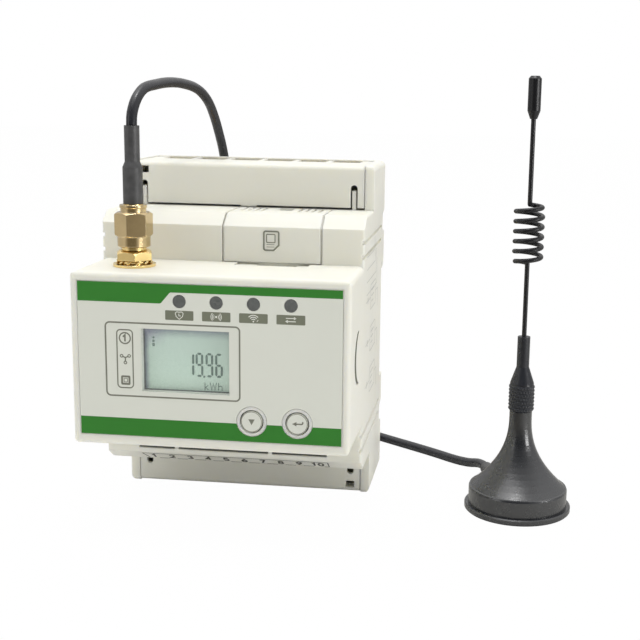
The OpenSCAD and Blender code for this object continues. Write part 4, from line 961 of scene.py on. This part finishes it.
def make_tie():
    """Hook-and-loop strap round the stowed lead, with its overlapping end."""
    angle = math.radians(290)
    out = Vector((math.cos(angle), math.sin(angle), 0))
    along = Vector((-math.sin(angle), math.cos(angle), 0))
    middle = Vector((*STOW_XY, 0))
    r0 = (STOW_R - STOW_HALF * STOW_STEP - CORD_D / 2 - 0.001) * 1000
    r1 = (STOW_R + CORD_D / 2 + 0.0002) * 1000
    z1 = (STOW_LIFT + CORD_D + (STOW_LAYERS - 1) * STOW_STEP + 0.0002) * 1000
    thick, corner, edge = 0.5, 1.55, 3.5
    inner = soft_box(r0, thick, r1, z1, corner)
    outer = soft_box(r0 - thick, 0.0, r1 + thick, z1 + thick, corner + thick)
    bm = bmesh.new()
    widths = [-edge, -3.35, -2.2, -1.1, 0.0, 1.1, 2.2, 3.35, edge]

    def place(p, w):
        return bm.verts.new(middle + (out * p[0] + Vector((0, 0, p[1])) + along * w) / 1000)

    def band(a, b, closed):
        """A strip between two outlines, thinner at its edges."""
        rings = []
        for p, q in zip(a, b):
            p, q = Vector(p), Vector(q)
            mid = (p + q) / 2
            rings.append([place(mid.lerp(face, 0.5 if abs(w) == edge else 1.0), w)
                          for face, order in ((q, widths), (p, widths[::-1])) for w in order])
        loft(bm, rings, closed)

    band(inner, outer, True)
    # The strap's end lies on its top and lifts a little towards its tip.
    top, count = z1 + thick, 14
    start, run, gap, lift = 1.4, 8.5, 0.03, 0.35
    low = [(r0 + start + run * i / count, top + gap + lift * (i / count) ** 4)
           for i in range(count + 1)]
    high = [(x, z + thick) for x, z in low]
    band(low, high, False)
    tie = link("tie_band", mesh_of("tie_band", bm, 40), "tie", "base")
    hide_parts("cable_tie")
    return tie


make_cord(make_tie())

# ---------------------------------------------------------------- floor, world, lights

WHITE = (1, 1, 1, 1)


def make_floor():
    """The floor: nearly plain white to the camera, with a painted reflection in warm greys where
    metals mirror it.
    """
    mesh = bpy.data.meshes.new("floor")
    bm = bmesh.new()
    bmesh.ops.create_grid(bm, x_segments=2, y_segments=2, size=3)
    bm.to_mesh(mesh)
    bm.free()
    floor = bpy.data.objects.new("floor", mesh)
    scene.collection.objects.link(floor)
    m, g = new_material("floor")
    path = g.add("ShaderNodeLightPath").outputs
    # Painted reflection: glossy rays alone see the floor darker before and behind the part than at
    # its sides.
    place = g.add("ShaderNodeSeparateXYZ", {0: g.coords()}).outputs
    aside, ahead = g.maths("ABSOLUTE", place[0]), g.maths("ABSOLUTE", place[1])
    ratio = g.maths("DIVIDE", aside, g.maths("ADD", aside, g.maths("ADD", ahead, 0.01)))
    painted_reflection = g.mix(g.spread(ratio, 0.0, 1.0, 0.32, 0.52),
                     (0.22, 0.20, 0.16, 1), (0.66, 0.65, 0.62, 1))
    tone = g.mix(path["Is Glossy Ray"], (0.88, 0.88, 0.88, 1), painted_reflection)
    matt = g.add("ShaderNodeBsdfDiffuse", {"Color": tone})
    white = g.add("ShaderNodeEmission", {"Color": WHITE, "Strength": 1.0})
    share = g.maths("MULTIPLY", path["Is Camera Ray"], 0.985)
    g.output(g.add("ShaderNodeMixShader",
                   {0: share, 1: matt.outputs[0], 2: white.outputs[0]}))
    mesh.materials.append(m)


def make_world():
    """White to the camera; as light, strong from above and behind and weak from the front."""
    world = bpy.data.worlds.new("studio")
    world.use_nodes = True
    g = Graph(world.node_tree)
    way = g.add("ShaderNodeSeparateXYZ", {0: g.add("ShaderNodeTexCoord").outputs["Generated"]})
    ahead = g.spread(way.outputs[1], 0.15, 1.1, -0.95, 0.1)
    tone = g.maths("MULTIPLY", g.spread(way.outputs[2], 0.30, 1.14, -0.1, 0.9), ahead)
    room = g.add("ShaderNodeBackground", {"Color": (1, 0.995, 0.98, 1), "Strength": tone})
    white = g.add("ShaderNodeBackground", {"Color": WHITE, "Strength": 1.0})
    path = g.add("ShaderNodeLightPath")
    g.output(g.add("ShaderNodeMixShader", {0: path.outputs["Is Camera Ray"], 1: room.outputs[0],
                                           2: white.outputs[0]}), "ShaderNodeOutputWorld")
    scene.world = world
    scene.view_settings.view_transform = "Standard"


def area_light(name, place, aim, size, watts):
    data = bpy.data.lights.new(name, "AREA")
    data.shape = "RECTANGLE"
    data.size, data.size_y = size
    data.energy = watts
    lamp = bpy.data.objects.new(name, data)
    scene.collection.objects.link(lamp)
    way = Vector(aim) - Vector(place)
    turn = way.to_track_quat("-Z", "Y").to_matrix().to_4x4()
    lamp.matrix_world = Matrix.Translation(place) @ turn


make_floor()
make_world()

AIM = (0.02, -0.01, 0.05)
area_light("key_top", (-0.15, -0.05, 0.95), AIM, (0.9, 0.7), 2.5)
area_light("top_shine", (0.03, -0.08, 0.85), (0.08, -0.02, 0.01), (0.2, 0.2), 1.3)
area_light("right_side", (0.95, -0.45, 0.10), (0.03, 0, 0.03), (0.4, 0.18), 2.5)
area_light("left_front", (-0.8, -0.7, 0.35), AIM, (0.4, 0.5), 0.85)
